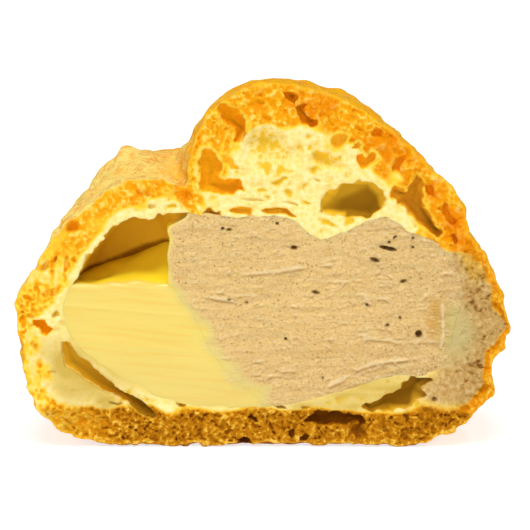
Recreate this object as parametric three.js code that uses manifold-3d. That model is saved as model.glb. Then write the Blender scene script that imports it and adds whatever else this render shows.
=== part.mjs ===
// Half of a two-cream cream puff, cut through the middle and standing on its flat base.
// Millimetres, +Z up. The cut face is a plane that looks along -Y, and the uncut back is towards +Y.
// Three solids: the choux shell, the custard on the left of the cut, and the mocha cream on the right.
import * as THREE from 'three';
import { mergeVertices } from 'three/addons/utils/BufferGeometryUtils.js';
import Module from 'manifold-3d';

const wasm = await Module();
wasm.setup();

// ---- Driving dimensions -------------------------------------------------------------------------

const CORE_HEIGHT = 26; // the point in the cut that both outlines are measured from, above the table
const PUFF_DEPTH = 43; // cut face to the back of the shell
const CAVITY_DEPTH = 35; // cut face to the back of the cream
const GAP = 0.3; // between the creams, and between each cream and the shell
const CLEAR = 160; // size of the blocks that cut things off, larger than the puff

// Outlines in the cut, as [degrees anticlockwise from +X, distance from the core].
const CRUST_OUTLINE = [
  [3, 41.5], [8, 40.5], [13, 39.4], [17.5, 37.7], [21, 37.9], [26, 39.1], [31, 38.7], // right neck
  [38, 37.8], [45, 37.4], // right shoulder
  [54, 37.7], [64, 38], [76, 38.5], [87, 38.8], [98, 37.4], [106, 34.7], [113, 31], // crown
  [118, 28], [124, 24.8], // crease between crown and left lobe
  [129, 27.8], [135, 30.9], [143, 33.2], [152, 35.3], [160, 37.6], [171, 40.2], // left lobe
  [179, 42.9], [186, 43.3], [194, 43.6], [201, 44.3], [206, 44.2], [212, 42.8], // left side and its foot
  [224, 37], [239, 32], [270, 28.6], [299, 31.4], [316, 37.2], // underside, trimmed flat below
  [327, 41.1], [334, 42.8], [339, 43.6], [343.5, 41.6], [347, 42], [351, 43.1], [356, 42.8], // right
];
const CAVITY_OUTLINE = [
  [2, 34.5], [10, 34], [17, 33.2], [27, 29.1], [36, 26.7], [42, 21.3], // right of the filling
  [48, 14.5], [60, 14.4], [70, 15.2], [99, 15.2], // notch of crumb, and the ceiling over the filling
  [129, 20.3], [140, 24.3], [150, 28.6], [161, 30.7], [171, 32.8], // pocket over the custard
  [181, 34.8], [189, 34.2], [196, 32.3], [205, 29], [219, 25.4], [247, 20.1], // left and floor
  [275, 18.4], [295, 19], [319, 22.1], [331, 26.3], [336, 31], [341, 33.4], [348, 33.4], [355, 33.6],
];

// The plainer outlines that those two turn into towards the back.
const CRUST_BACK_OUTLINE = [
  [5, 41.5], [12, 39.2], [20, 37.2], [32, 37.2], [50, 37.2], [80, 37], [98, 35], [107, 31.5],
  [117, 29.2], [127, 32], [140, 35], [170, 40], [200, 44.5], [235, 33], [270, 28.6], [305, 33], [340, 44],
];
const CAVITY_BACK_OUTLINE = [
  [5, 34], [55, 24], [95, 19], [130, 24], [175, 33], [215, 27], [270, 18.4], [325, 27],
];
const BACK_STARTS = 0.06; // shares of the depth between which one outline turns into the other
const BACK_FULL = 0.6;

// How far towards the back an outline keeps its size: a round end has 2, and a boxier one has more.
const SIDE_ROUNDNESS = 2.1;
const BASE_ROUNDNESS = 5;

// Lobes of the risen crust behind the cut: where each one points, its half width, and its rise.
const LOBES = [
  { towards: [-0.63, 0.34, 0.67], halfWidth: 0.3, rise: 0.135 }, // left lobe
  { towards: [0.2, 0.3, 0.95], halfWidth: 0.36, rise: 0.02 }, // crown
  { towards: [0.62, 0.5, 0.6], halfWidth: 0.4, rise: 0.015 }, // right shoulder
  { towards: [-0.1, 0.85, 0.52], halfWidth: 0.42, rise: 0.05 },
  { towards: [-0.82, 0.56, 0.1], halfWidth: 0.42, rise: 0.03 },
  { towards: [0.84, 0.54, -0.05], halfWidth: 0.34, rise: 0.03 },
  { towards: [0.45, 0.88, 0.1], halfWidth: 0.38, rise: 0.05 },
  { towards: [-0.42, 0.9, -0.05], halfWidth: 0.4, rise: 0.04 },
];
const LOBES_START = 0.02; // share of the way to the back where the lobes begin to show
const LOBES_FULL = 0.3;

// Air pockets in the crumb that open at the cut: centre [x, z], half sizes along the pocket, into the
// puff and across the pocket, and the pocket's tilt in the cut, in degrees anticlockwise.
const POCKETS = [
  { centre: [-2.5, 41.8], half: [8, 5, 1.3], tilt: -2 }, // slit under the ceiling
  { centre: [14.7, 43.9], half: [6, 8, 3.4], tilt: 8 }, // hollow over the mocha cream
  { centre: [26.4, 42.6], half: [5.8, 8, 2.7], tilt: -52 }, // hollow under the right shoulder
  { centre: [-5.1, 58], half: [3.3, 4, 2.6], tilt: -60 }, // bubble in the crown
  { centre: [-10.1, 49.6], half: [3.9, 5, 2.3], tilt: 80 }, // bubble by the crease
  { centre: [-6.2, 46.6], half: [3, 3.5, 1.2], tilt: 0 }, // its foot
  { centre: [6.9, 59.8], half: [3.2, 3, 1.7], tilt: -48 }, // pit under the crown's skin
  { centre: [2, 52.6], half: [4.5, 2.6, 2.9], tilt: -10 }, // pale cell in the crown
  { centre: [12.4, 51.3], half: [4.2, 2.6, 1.9], tilt: -12 }, // pale cell beside it
  { centre: [-27.6, 12.6], half: [10, 7, 1.5], tilt: -39 }, // slit under the custard
  { centre: [25.4, 9.8], half: [6.6, 7, 2.4], tilt: 30 }, // hollow under the mocha cream
  { centre: [13, 5], half: [5.3, 4, 1.5], tilt: -8 }, // hollow in the bottom crust
  { centre: [-38.8, 21.7], half: [1.8, 2, 1.6], tilt: 0 }, // pore in the left crust
];

// Where the creams meet in the cut, from below the filling to above it, as [x, z].
const CREAM_SEAM = [
  [3, 2], [-0.5, 8.6], [-5, 12.2], [-9, 17], [-12.4, 24.3], [-16.2, 29], [-16.6, 34.5], // soft face to face
  [-16.5, 38.6], [-14.6, 40.3], [-12, 42], [-8, 46], // the mocha cream's free corner in the pocket
];

// The custard's top is nearly level on the left, and slopes up from the cut where it meets the mocha cream.
const CUSTARD_TOP = 29.3;
const CUSTARD_SLOPE = 0.03;
const CUSTARD_SLOPE_AT_SEAM = 0.4;
const CUSTARD_SLOPE_TURNS = [-27, -16]; // where along X one slope turns into the other

// The space over the custard ends at a wall of crumb, which comes forward beside the mocha cream.
const SPACE_DEPTH = 13;
const SPACE_NARROWS = 9; // how much less deep it is beside the mocha cream
const SPACE_TURNS = [-19.5, -14.5]; // where along X the wall comes forward, at the height below
const SPACE_HEIGHT = 39;
const SPACE_LEAN = 0.5; // how far that place moves to the left for each millimetre up

// How finely the surfaces are divided: [round the core, front to back].
const CRUST_STEPS = [72, 40];
const CAVITY_STEPS = [54, 28];
const POCKET_STEPS = [14, 10];

// ---- Shape functions ----------------------------------------------------------------------------

const { degToRad, euclideanModulo, lerp, radToDeg, smoothstep: smooth } = THREE.MathUtils;

// Turns [degrees, distance] knots into a smooth closed function of the angle.
function closedOutline(knots) {
  const n = knots.length;
  const knot = (i) => {
    const turns = Math.floor(i / n);
    const [degrees, distance] = knots[i - turns * n];
    return [degrees + 360 * turns, distance];
  };
  const slope = (i) => (knot(i + 1)[1] - knot(i - 1)[1]) / (knot(i + 1)[0] - knot(i - 1)[0]);
  return (degrees) => {
    const angle = degrees < knots[0][0] ? degrees + 360 : degrees;
    let i = 0;
    while (knot(i + 1)[0] <= angle) i += 1;
    const [[a0, r0], [a1, r1]] = [knot(i), knot(i + 1)];
    const span = a1 - a0;
    const t = (angle - a0) / span;
    return (1 + 2 * t) * (1 - t) ** 2 * r0 + t * (1 - t) ** 2 * span * slope(i)
      + t * t * (3 - 2 * t) * r1 + t * t * (t - 1) * span * slope(i + 1);
  };
}

// How much the crust swells at a direction from the core: 1 at the cut, more on a lobe.
function swell(direction) {
  const away = LOBES.map(({ towards, halfWidth, rise }) => {
    const apart = direction.angleTo(new THREE.Vector3(...towards));
    return rise * Math.exp(-((apart / halfWidth) ** 2));
  });
  const total = away.reduce((sum, one) => sum + one, 0);
  return 1 + total * smooth(direction.y, LOBES_START, LOBES_FULL);
}

// A closed body whose section at y = 0 is the cut outline, and which rounds off at both ends of its depth.
function roundedBody(cutOutline, backOutline, depth, [around, along], swelling = () => 1) {
  const cutRadius = closedOutline(cutOutline);
  const backRadius = closedOutline(backOutline);
  const geometry = new THREE.SphereGeometry(1, around, along);
  const at = geometry.getAttribute('position');
  for (let i = 0; i < at.count; i += 1) {
    const share = Math.min(1, Math.abs(at.getY(i)));
    const angle = Math.atan2(at.getZ(i), at.getX(i));
    const degrees = euclideanModulo(radToDeg(angle), 360);
    const radius = lerp(cutRadius(degrees), backRadius(degrees), smooth(share, BACK_STARTS, BACK_FULL));
    const roundness = lerp(SIDE_ROUNDNESS, BASE_ROUNDNESS, smooth(-Math.sin(angle), 0.3, 1));
    const size = radius * Math.sqrt(1 - share ** roundness);
    const point = new THREE.Vector3(size * Math.cos(angle), depth * at.getY(i), size * Math.sin(angle));
    point.multiplyScalar(swelling(point.clone().normalize()));
    at.setXYZ(i, point.x, point.y, point.z + CORE_HEIGHT);
  }
  return geometry;
}

// The space that the creams fill, made smaller all round by an amount.
function cavityBody(smaller) {
  const shrink = (outline) => outline.map(([degrees, distance]) => [degrees, distance - smaller]);
  const outlines = [shrink(CAVITY_OUTLINE), shrink(CAVITY_BACK_OUTLINE)];
  return roundedBody(...outlines, CAVITY_DEPTH - smaller, CAVITY_STEPS);
}

// A pocket of air, with its middle in the cut.
function pocketBody({ centre: [x, z], half, tilt }) {
  return new THREE.SphereGeometry(1, ...POCKET_STEPS)
    .scale(...half)
    .rotateY(-degToRad(tilt))
    .translate(x, 0, z);
}

// Everything on one side of the seam between the creams, and half the gap on its other side.
function besideSeam(side) {
  const seam = new THREE.SplineCurve(CREAM_SEAM.map(([x, z]) => new THREE.Vector2(x, z))).getPoints(18);
  const far = side * CLEAR;
  const outline = [
    ...seam.map((p) => new THREE.Vector2(p.x - (side * GAP) / 2, p.y)),
    new THREE.Vector2(far, seam.at(-1).y + CLEAR),
    new THREE.Vector2(far, seam[0].y - CLEAR),
  ];
  const options = { depth: CLEAR, bevelEnabled: false, steps: 1 };
  return new THREE.ExtrudeGeometry(new THREE.Shape(outline), options)
    .rotateX(Math.PI / 2)
    .translate(0, CLEAR - 1, 0);
}

// Everything above the custard's sloping top, from a height over it.
function aboveCustard(over) {
  const [width, depth, height] = [50, PUFF_DEPTH + 4, 50];
  const geometry = new THREE.BoxGeometry(width, depth, height, 12, 12, 1)
    .translate(-width / 2, depth / 2 - 2, CUSTARD_TOP + height / 2);
  const at = geometry.getAttribute('position');
  for (let i = 0; i < at.count; i += 1) {
    if (at.getZ(i) > CUSTARD_TOP + 1) continue;
    const slope = lerp(CUSTARD_SLOPE, CUSTARD_SLOPE_AT_SEAM, smooth(at.getX(i), ...CUSTARD_SLOPE_TURNS));
    at.setZ(i, CUSTARD_TOP + over + slope * at.getY(i));
  }
  return geometry;
}

// Everything behind the wall at the back of the space over the custard.
function behindSpace() {
  const [width, depth, height] = [50, PUFF_DEPTH, 30];
  const geometry = new THREE.BoxGeometry(width, depth, height, 24, 1, 12)
    .translate(-width / 2, depth / 2, CUSTARD_TOP + height / 2 - 2);
  const at = geometry.getAttribute('position');
  for (let i = 0; i < at.count; i += 1) {
    if (at.getY(i) > 1) continue;
    const across = at.getX(i) + SPACE_LEAN * (at.getZ(i) - SPACE_HEIGHT);
    at.setY(i, SPACE_DEPTH - SPACE_NARROWS * smooth(across, ...SPACE_TURNS));
  }
  return geometry;
}

// ---- Joining and cutting ------------------------------------------------------------------------

function solid(geometry) {
  const bare = geometry.clone();
  bare.deleteAttribute('normal');
  bare.deleteAttribute('uv');
  const merged = mergeVertices(bare, 1e-4);
  return new wasm.Manifold(new wasm.Mesh({
    numProp: 3,
    vertProperties: merged.getAttribute('position').array,
    triVerts: new Uint32Array(merged.index.array),
  }));
}

function geometryOf(manifold) {
  const { vertProperties, triVerts } = manifold.getMesh();
  const geometry = new THREE.BufferGeometry()
    .setAttribute('position', new THREE.BufferAttribute(vertProperties, 3))
    .setIndex(new THREE.BufferAttribute(triVerts, 1));
  geometry.computeVertexNormals();
  return geometry;
}

const block = (x, y, z) => solid(new THREE.BoxGeometry(CLEAR, CLEAR, CLEAR).translate(x, y, z));
const inFrontOfCut = block(0, -CLEAR / 2, 0);
const belowTable = block(0, 0, -CLEAR / 2);
const withoutFront = (body) => body.subtract(inFrontOfCut);

// ---- Pieces -------------------------------------------------------------------------------------

// The wall of crumb behind the space over the custard, clear of both creams by the gap.
function crumbWall() {
  return solid(behindSpace())
    .intersect(solid(aboveCustard(GAP)))
    .subtract(solid(besideSeam(1)));
}

// The baked shell of choux pastry: lobed crust, flat base, and a cavity with the creams' shape.
function chouxShell() {
  const crust = solid(roundedBody(CRUST_OUTLINE, CRUST_BACK_OUTLINE, PUFF_DEPTH, CRUST_STEPS, swell));
  const cavity = solid(cavityBody(0)).subtract(crumbWall());
  const pocketed = POCKETS.reduce((body, pocket) => body.subtract(solid(pocketBody(pocket))), crust);
  return withoutFront(pocketed.subtract(cavity)).subtract(belowTable);
}

// Both creams together: the cavity's shape, smaller by the gap.
const filling = () => withoutFront(solid(cavityBody(GAP)));

function custard() {
  return filling().subtract(solid(besideSeam(1))).subtract(solid(aboveCustard(0)));
}

function mochaCream() {
  return filling().subtract(solid(besideSeam(-1)));
}

function piece(name, body, color, roughness) {
  const material = new THREE.MeshStandardMaterial({ color, roughness, metalness: 0 });
  const mesh = new THREE.Mesh(geometryOf(body), material);
  mesh.name = name;
  return mesh;
}

// ---- The puff -----------------------------------------------------------------------------------

const puff = new THREE.Group();
puff.add(
  piece('choux_shell', chouxShell(), 0xd9973c, 0.75),
  piece('custard', custard(), 0xf7dc78, 0.35),
  piece('mocha_cream', mochaCream(), 0xd2b184, 0.6),
);

// The origin is on the table, under the middle of the puff's bounding box.
const middle = new THREE.Box3().setFromObject(puff).getCenter(new THREE.Vector3());
puff.position.set(-middle.x, -middle.y, 0);

export default puff;
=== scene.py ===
"""Half of a two-cream cream puff: baked choux shell, custard and mocha cream, on a pale table.

Each piece is worked out as a field of distances in millimetres and then skinned. The puff's own
coordinates have X along the cut, Y into the puff from the cut, and Z up from the table.
"""
import sys

import logging
import math
from dataclasses import dataclass
from enum import Enum
from typing import Any, Sequence

import bpy
import numpy as np
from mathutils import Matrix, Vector


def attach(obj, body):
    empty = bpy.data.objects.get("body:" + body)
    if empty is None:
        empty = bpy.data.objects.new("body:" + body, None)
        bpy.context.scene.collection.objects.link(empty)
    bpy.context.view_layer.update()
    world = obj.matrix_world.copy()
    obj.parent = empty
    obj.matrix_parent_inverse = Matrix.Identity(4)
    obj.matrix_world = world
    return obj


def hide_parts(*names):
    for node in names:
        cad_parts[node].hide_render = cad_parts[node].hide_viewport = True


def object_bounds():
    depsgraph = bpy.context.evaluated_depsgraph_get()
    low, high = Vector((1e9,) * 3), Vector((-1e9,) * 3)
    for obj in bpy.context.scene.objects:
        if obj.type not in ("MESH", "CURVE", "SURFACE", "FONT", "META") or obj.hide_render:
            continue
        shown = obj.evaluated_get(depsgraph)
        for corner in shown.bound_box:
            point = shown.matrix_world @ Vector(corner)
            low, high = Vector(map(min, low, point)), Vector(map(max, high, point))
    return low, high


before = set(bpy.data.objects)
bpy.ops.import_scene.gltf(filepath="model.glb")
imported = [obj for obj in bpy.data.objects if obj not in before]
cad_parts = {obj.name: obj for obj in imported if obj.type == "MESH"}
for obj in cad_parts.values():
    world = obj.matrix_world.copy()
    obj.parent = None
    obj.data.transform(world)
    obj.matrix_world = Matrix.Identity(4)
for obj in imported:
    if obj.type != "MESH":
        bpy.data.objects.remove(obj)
cad_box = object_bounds()

log = logging.getLogger("cream_puff")

MM = 0.001  # one millimetre in the scene's metres
BODY = "root"  # the one body that every piece of food rides on

# The puff as it was shaped, in millimetres.
CORE_HEIGHT = 26.0  # the point in the cut that the outlines are measured from, above the table
PUFF_DEPTH = 43.0  # cut face to the back of the shell
CAVITY_DEPTH = 35.0  # cut face to the back of the cream

STEADY = 400.0  # millimetres between random values along an axis that a relief stays the same along
TINY = 1e-3  # keeps a division away from zero

Knots = Sequence[tuple[float, float]]


# ---- Numbers on grids -----------------------------------------------------------------------------


def smooth(value: np.ndarray, low: float, high: float) -> np.ndarray:
    """Turns a value into 0 below low and 1 above high, with a soft step between.

    Args:
        value: numbers of any shape.
        low: where the step starts. It may be above high, for a step that falls.
        high: where the step ends.

    Returns:
        Numbers from 0 to 1 in the same shape.
    """
    t = np.clip((value - low) / (high - low), 0, 1)
    return t * t * (3 - 2 * t)


def soft_max(a: np.ndarray, b: np.ndarray, blend: float) -> np.ndarray:
    """Joins two fields as the larger of both, with the corner between them rounded.

    Args:
        a: one field.
        b: the other field.
        blend: how wide the rounded corner is, in millimetres.

    Returns:
        The joined field.
    """
    over = np.maximum(blend - np.abs(a - b), 0) / blend
    return np.maximum(a, b) + over * over * blend * 0.25


def outline(knots: Knots, degrees: np.ndarray) -> np.ndarray:
    """Reads a smooth closed outline at some angles.

    Args:
        knots: (degrees, distance) pairs round the circle, in order.
        degrees: the angles to read at, from 0 to 360.

    Returns:
        The distance at each angle.
    """
    angle, distance = (np.array(column) for column in zip(*knots))
    angle = np.concatenate([angle - 360, angle, angle + 360])
    distance = np.tile(distance, 3)
    slope = np.gradient(distance, angle)
    slope[1:-1] = (distance[2:] - distance[:-2]) / (angle[2:] - angle[:-2])
    i = np.searchsorted(angle, degrees, side="right") - 1
    span = angle[i + 1] - angle[i]
    t = (degrees - angle[i]) / span
    rise = t * t * (3 - 2 * t)
    start = t * (1 - t) ** 2 * span * slope[i]
    end = t * t * (t - 1) * span * slope[i + 1]
    return (1 - rise) * distance[i] + rise * distance[i + 1] + start + end


def line_distance(points: Knots, x: np.ndarray, z: np.ndarray) -> np.ndarray:
    """How far places in the cut are from a line through some points, in millimetres.

    Args:
        points: the line's corners, as (x, z).
        x: the places' x.
        z: the places' z.

    Returns:
        One distance for each place.
    """
    least = np.full(np.broadcast(x, z).shape, np.inf, dtype=np.float32)
    for (x0, z0), (x1, z1) in zip(points, points[1:]):
        along_x, along_z = x1 - x0, z1 - z0
        share = ((x - x0) * along_x + (z - z0) * along_z) / (along_x**2 + along_z**2)
        share = np.clip(share, 0, 1)
        least = np.minimum(least, np.hypot(x - x0 - share * along_x, z - z0 - share * along_z))
    return least


def rim_distance(rim: Knots, x: np.ndarray, z: np.ndarray) -> np.ndarray:
    """How far places in the cut are outside a closed rim, in millimetres, and below zero inside it.

    Args:
        rim: the rim's corners, as (x, z).
        x: the places' x.
        z: the places' z.

    Returns:
        One distance for each place.
    """
    ring = [*rim, rim[0]]
    inside = np.zeros(np.broadcast(x, z).shape, dtype=bool)
    for (x0, z0), (x1, z1) in zip(ring, ring[1:]):
        if z0 != z1:
            inside ^= ((z > z0) != (z > z1)) & (x < x0 + (z - z0) / (z1 - z0) * (x1 - x0))
    away = line_distance(ring, x, z)
    return np.where(inside, -away, away)


def graded(start: float, even_to: float, stop: float, first: float, last: float) -> np.ndarray:
    """Lays out sample places that are evenly spaced at first and then grow further apart.

    Args:
        start: the first place.
        even_to: where the spacing starts to grow.
        stop: about where the last place is.
        first: the spacing at the start.
        last: the largest spacing.

    Returns:
        The places, in rising order.
    """
    places = [start]
    while places[-1] < stop:
        share = min(1.0, max(0.0, (places[-1] - even_to) / (stop - even_to)) * 3)
        places.append(places[-1] + first + (last - first) * share)
    return np.array(places, dtype=np.float32)


@dataclass
class Grid:
    """Sample places along the three axes of the puff, in millimetres."""

    x: np.ndarray
    y: np.ndarray
    z: np.ndarray

    @classmethod
    def over(cls, low: Sequence[float], high: Sequence[float], step: float, far_step: float) -> "Grid":
        """Lays a grid over a box, fine near the cut and coarser towards the back.

        Args:
            low: the box's lowest corner.
            high: its highest corner.
            step: spacing across the cut, and into the puff near it.
            far_step: spacing into the puff at its back.

        Returns:
            The grid.
        """
        x = np.arange(low[0], high[0], step, dtype=np.float32)
        z = np.arange(low[2], high[2], step, dtype=np.float32)
        return cls(x, graded(low[1], 4.0, high[1], step, far_step), z)

    @property
    def axes(self) -> tuple[np.ndarray, np.ndarray, np.ndarray]:
        """The three axes, shaped so that numpy spreads them over the grid."""
        return self.x[:, None, None], self.y[None, :, None], self.z[None, None, :]

    @property
    def cut(self) -> "Grid":
        """The grid's places in the plane of the cut only."""
        return Grid(self.x, np.zeros(1, dtype=np.float32), self.z)

    def read(self, field: np.ndarray, points: np.ndarray) -> np.ndarray:
        """Reads a field between its samples.

        Args:
            field: one number for each place of the grid, or for each place in its cut.
            points: places in millimetres, one row each.

        Returns:
            One number for each point.
        """
        corner, share = [], []
        for axis, (places, value) in enumerate(zip((self.x, self.y, self.z), points.T)):
            if field.shape[axis] == 1:
                corner.append(np.zeros(len(points), dtype=int))
                share.append(np.zeros(len(points)))
                continue
            i = np.clip(np.searchsorted(places, value) - 1, 0, len(places) - 2)
            corner.append(i)
            share.append(np.clip((value - places[i]) / (places[i + 1] - places[i]), 0, 1))
        total = np.zeros(len(points))
        for step in np.ndindex(*(min(2, n) for n in field.shape)):
            weight = np.prod([s if up else 1 - s for s, up in zip(share, step)], axis=0)
            total += weight * field[tuple(i + up for i, up in zip(corner, step))]
        return total

    def at_cut(self, field: np.ndarray) -> np.ndarray:
        """A field's values in the plane of the cut."""
        level = int(np.abs(self.y).argmin())
        return field[:, level : level + 1]

    def window(self, low: Sequence[float], high: Sequence[float]) -> tuple[slice, slice, slice]:
        """The slices of the grid that lie in a box, along each axis."""
        edges = (np.searchsorted(a, pair) for a, pair in zip((self.x, self.y, self.z), zip(low, high)))
        return tuple(slice(first, last) for first, last in edges)


@dataclass(frozen=True)
class Unevenness:
    """Seeded smooth random relief, with a typical size of about 1."""

    seed: int
    size: tuple[float, float, float]  # millimetres between its random values along X, Y and Z

    ORIGIN = (-50.0, -6.0, -6.0)
    EXTENT = (102.0, 60.0, 82.0)
    EVEN = 3.0  # brings the interpolated values back to a typical size of 1

    def over(self, grid: Grid) -> np.ndarray:
        """Works the relief out on a grid.

        Args:
            grid: where to work it out.

        Returns:
            One number for each place of the grid.
        """
        counts = [int(extent / size) + 5 for extent, size in zip(self.EXTENT, self.size)]
        field = np.random.default_rng(self.seed).standard_normal(counts, dtype=np.float32) * self.EVEN
        for axis, places in enumerate((grid.x, grid.y, grid.z)):
            t = (places - self.ORIGIN[axis]) / self.size[axis] + 1
            i = np.floor(t).astype(int)
            f = t - i
            weights = np.zeros((len(places), counts[axis]), dtype=np.float32)
            rows = np.arange(len(places))
            shares = ((1 - f) ** 3, 3 * f**3 - 6 * f**2 + 4, -3 * f**3 + 3 * f**2 + 3 * f + 1, f**3)
            for offset, share in enumerate(shares):
                weights[rows, i - 1 + offset] = share / 6
            field = np.moveaxis(np.tensordot(weights, field, axes=(1, axis)), 0, axis)
        return field


@dataclass(frozen=True)
class Froth:
    """Seeded foam cells as a cut shows them: crooked walls round hollows, most shallow and a few deep."""

    seed: int
    size: tuple[float, float]  # millimetres between the cells' middles, along X and Z
    crooked: float = 0.7  # how far the walls wander, as a share of the size
    wall: tuple[float, float] = (0.05, 0.5)  # shares of the size where a cell's side starts and ends
    shallowest: float = 0.1  # depth of the shallowest cell, as a share of the deepest
    rarity: float = 2.0  # how rare deep cells are

    ORIGIN = (-52.0, -8.0)
    EXTENT = (110.0, 90.0)
    BORDER = 2  # cells round the sampled part, which the nearest cell may be one of
    BENDS = (0.9, 0.4)  # sizes of the walls' coarse and fine bends, as shares of a cell

    def over(self, grid: Grid) -> np.ndarray:
        """Works the cells out in the cut.

        Args:
            grid: where to work them out.

        Returns:
            The cells' depth from 0 to 1.
        """
        rng = np.random.default_rng(self.seed)
        count = [int(extent / size) + 4 * self.BORDER for extent, size in zip(self.EXTENT, self.size)]
        middles = rng.uniform(0.12, 0.88, (*count, 2)).astype(np.float32)
        depths = rng.uniform(0, 1, count).astype(np.float32)
        x, _, z = grid.axes
        u, v = (
            (places - origin) / size + self.BORDER + self.wander(grid.cut, axis) * self.crooked * 0.5
            for axis, (places, origin, size) in enumerate(zip((x, z), self.ORIGIN, self.size))
        )
        i, j = np.floor(u).astype(int), np.floor(v).astype(int)
        nearest = np.full(u.shape, 9, dtype=np.float32)
        second = nearest.copy()
        own = np.zeros_like(nearest)
        for di, dj in np.ndindex(2 * self.BORDER + 1, 2 * self.BORDER + 1):
            a = np.clip(i + di - self.BORDER, 0, count[0] - 1)
            b = np.clip(j + dj - self.BORDER, 0, count[1] - 1)
            away = np.hypot(a + middles[a, b, 0] - u, b + middles[a, b, 1] - v)
            closer = away < nearest
            second = np.where(closer, nearest, np.minimum(second, away))
            own = np.where(closer, depths[a, b], own)
            nearest = np.where(closer, away, nearest)
        deep = self.shallowest + (1 - self.shallowest) * own**self.rarity
        return smooth(second - nearest, *self.wall) * deep

    def wander(self, cut: Grid, axis: int) -> np.ndarray:
        """How far the walls wander along X (axis 0) or Z (axis 1), in cells."""
        bends = []
        for finer, wide in enumerate(self.BENDS):
            size = self.size[axis] * wide
            bend = Unevenness(self.seed * 7 + axis + 50 * finer, (size, STEADY, size))
            bends.append(bend.over(cut) * wide)
        return sum(bends)


def skin(field: np.ndarray, grid: Grid) -> tuple[np.ndarray, np.ndarray]:
    """Wraps the part of a field that is below zero in a closed surface of quads.

    Args:
        field: distances, below zero inside the piece and above zero at the grid's edge.
        grid: where the distances are.

    Returns:
        The points in millimetres, and the corners of each quad.
    """
    cells = tuple(n - 1 for n in field.shape)
    inside = field < 0
    places = (grid.x, grid.y, grid.z)
    owners, crossings, corners = [], [], []
    for axis in range(3):
        u, v = (axis + 1) % 3, (axis + 2) % 3
        near = [slice(None)] * 3
        far = [slice(None)] * 3
        near[axis], far[axis] = slice(None, -1), slice(1, None)
        at = np.argwhere(inside[tuple(near)] != inside[tuple(far)])
        keep = np.all((at[:, [u, v]] > 0) & (at[:, [u, v]] < np.array(cells)[[u, v]]), axis=1)
        at = at[keep]
        ahead = at.copy()
        ahead[:, axis] += 1
        here, there = field[tuple(at.T)], field[tuple(ahead.T)]
        point = np.stack([places[k][at[:, k]] for k in range(3)], axis=1).astype(np.float64)
        step = places[axis][ahead[:, axis]] - places[axis][at[:, axis]]
        point[:, axis] += step * here / (here - there)
        ring = []
        for du, dv in ((-1, -1), (0, -1), (0, 0), (-1, 0)):
            cell = at.copy()
            cell[:, u] += du
            cell[:, v] += dv
            ring.append(np.ravel_multi_index(cell.T, cells))
        ring = np.stack(ring, axis=1)
        ring[here > 0] = ring[here > 0][:, ::-1]
        owners.append(ring.ravel())
        crossings.append(np.repeat(point, 4, axis=0))
        corners.append(ring)
    owner = np.concatenate(owners)
    crossing = np.concatenate(crossings)
    used, vertex, count = np.unique(owner, return_inverse=True, return_counts=True)
    points = np.stack([np.bincount(vertex, crossing[:, k], len(used)) for k in range(3)], axis=1)
    points /= count[:, None]
    quads = np.searchsorted(used, np.concatenate(corners))
    return points, quads


def main_lump(points: np.ndarray, quads: np.ndarray) -> tuple[np.ndarray, np.ndarray]:
    """Keeps the largest connected surface, without loose specks and sealed bubbles.

    Args:
        points: the surface's points.
        quads: the corners of its quads.

    Returns:
        The points and quads that are left.
    """
    label = np.arange(len(points))
    while True:
        lowest = label[quads].min(axis=1)
        new = label.copy()
        for column in quads.T:
            np.minimum.at(new, column, lowest)
        new = new[new]
        if np.array_equal(new, label):
            break
        label = new
    kept = label == np.bincount(label).argmax()
    number = np.cumsum(kept) - 1
    return points[kept], number[quads[kept[quads[:, 0]]]]


# ---- Shape of the puff ----------------------------------------------------------------------------


@dataclass(frozen=True)
class Lobe:
    """A swelling of the risen crust behind the cut."""

    towards: tuple[float, float, float]
    half_width: float  # radians
    rise: float  # share of the distance from the core


@dataclass(frozen=True)
class RoundedBody:
    """A body whose section at the cut is one outline, and which turns into another and rounds off behind."""

    cut_outline: Knots
    back_outline: Knots
    depth: float
    lobes: tuple[Lobe, ...] = ()
    back_starts: float = 0.06  # shares of the depth between which one outline turns into the other
    back_full: float = 0.6
    side_roundness: float = 2.1
    base_roundness: float = 5.0
    lobes_start: float = 0.02
    lobes_full: float = 0.3

    def distance(self, grid: Grid) -> np.ndarray:
        """Works out how far each place is from the body's surface.

        Args:
            grid: the places.

        Returns:
            Distances in millimetres, below zero inside.
        """
        x, y, z = grid.axes
        z = z - CORE_HEIGHT
        away = np.sqrt(x * x + y * y + z * z) + TINY
        swell = np.ones_like(away)
        for lobe in self.lobes:
            tx, ty, tz = Vector(lobe.towards).normalized()
            apart = 2 - 2 * (x * tx + y * ty + z * tz) / away
            swell += lobe.rise * np.exp(-apart / lobe.half_width**2)
        swell = 1 + (swell - 1) * smooth(y / away, self.lobes_start, self.lobes_full)
        angle = np.arctan2(z, x)
        degrees = np.degrees(angle) % 360
        share = np.clip(np.abs(y) / swell / self.depth, 1e-4, 1.6)
        turned = smooth(share, self.back_starts, self.back_full)
        at_cut, at_back = outline(self.cut_outline, degrees), outline(self.back_outline, degrees)
        radius = at_cut * (1 - turned) + at_back * turned
        level = smooth(-np.sin(angle), 0.3, 1)
        roundness = self.side_roundness + (self.base_roundness - self.side_roundness) * level
        form = (x * x + z * z) / (swell * radius) ** 2 + share**roundness
        size = np.sqrt(form) - 1
        steepness = np.sqrt(sum(g * g for g in np.gradient(size, grid.x, grid.y, grid.z)))
        return (size / np.maximum(steepness, TINY)).astype(np.float32)


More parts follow.
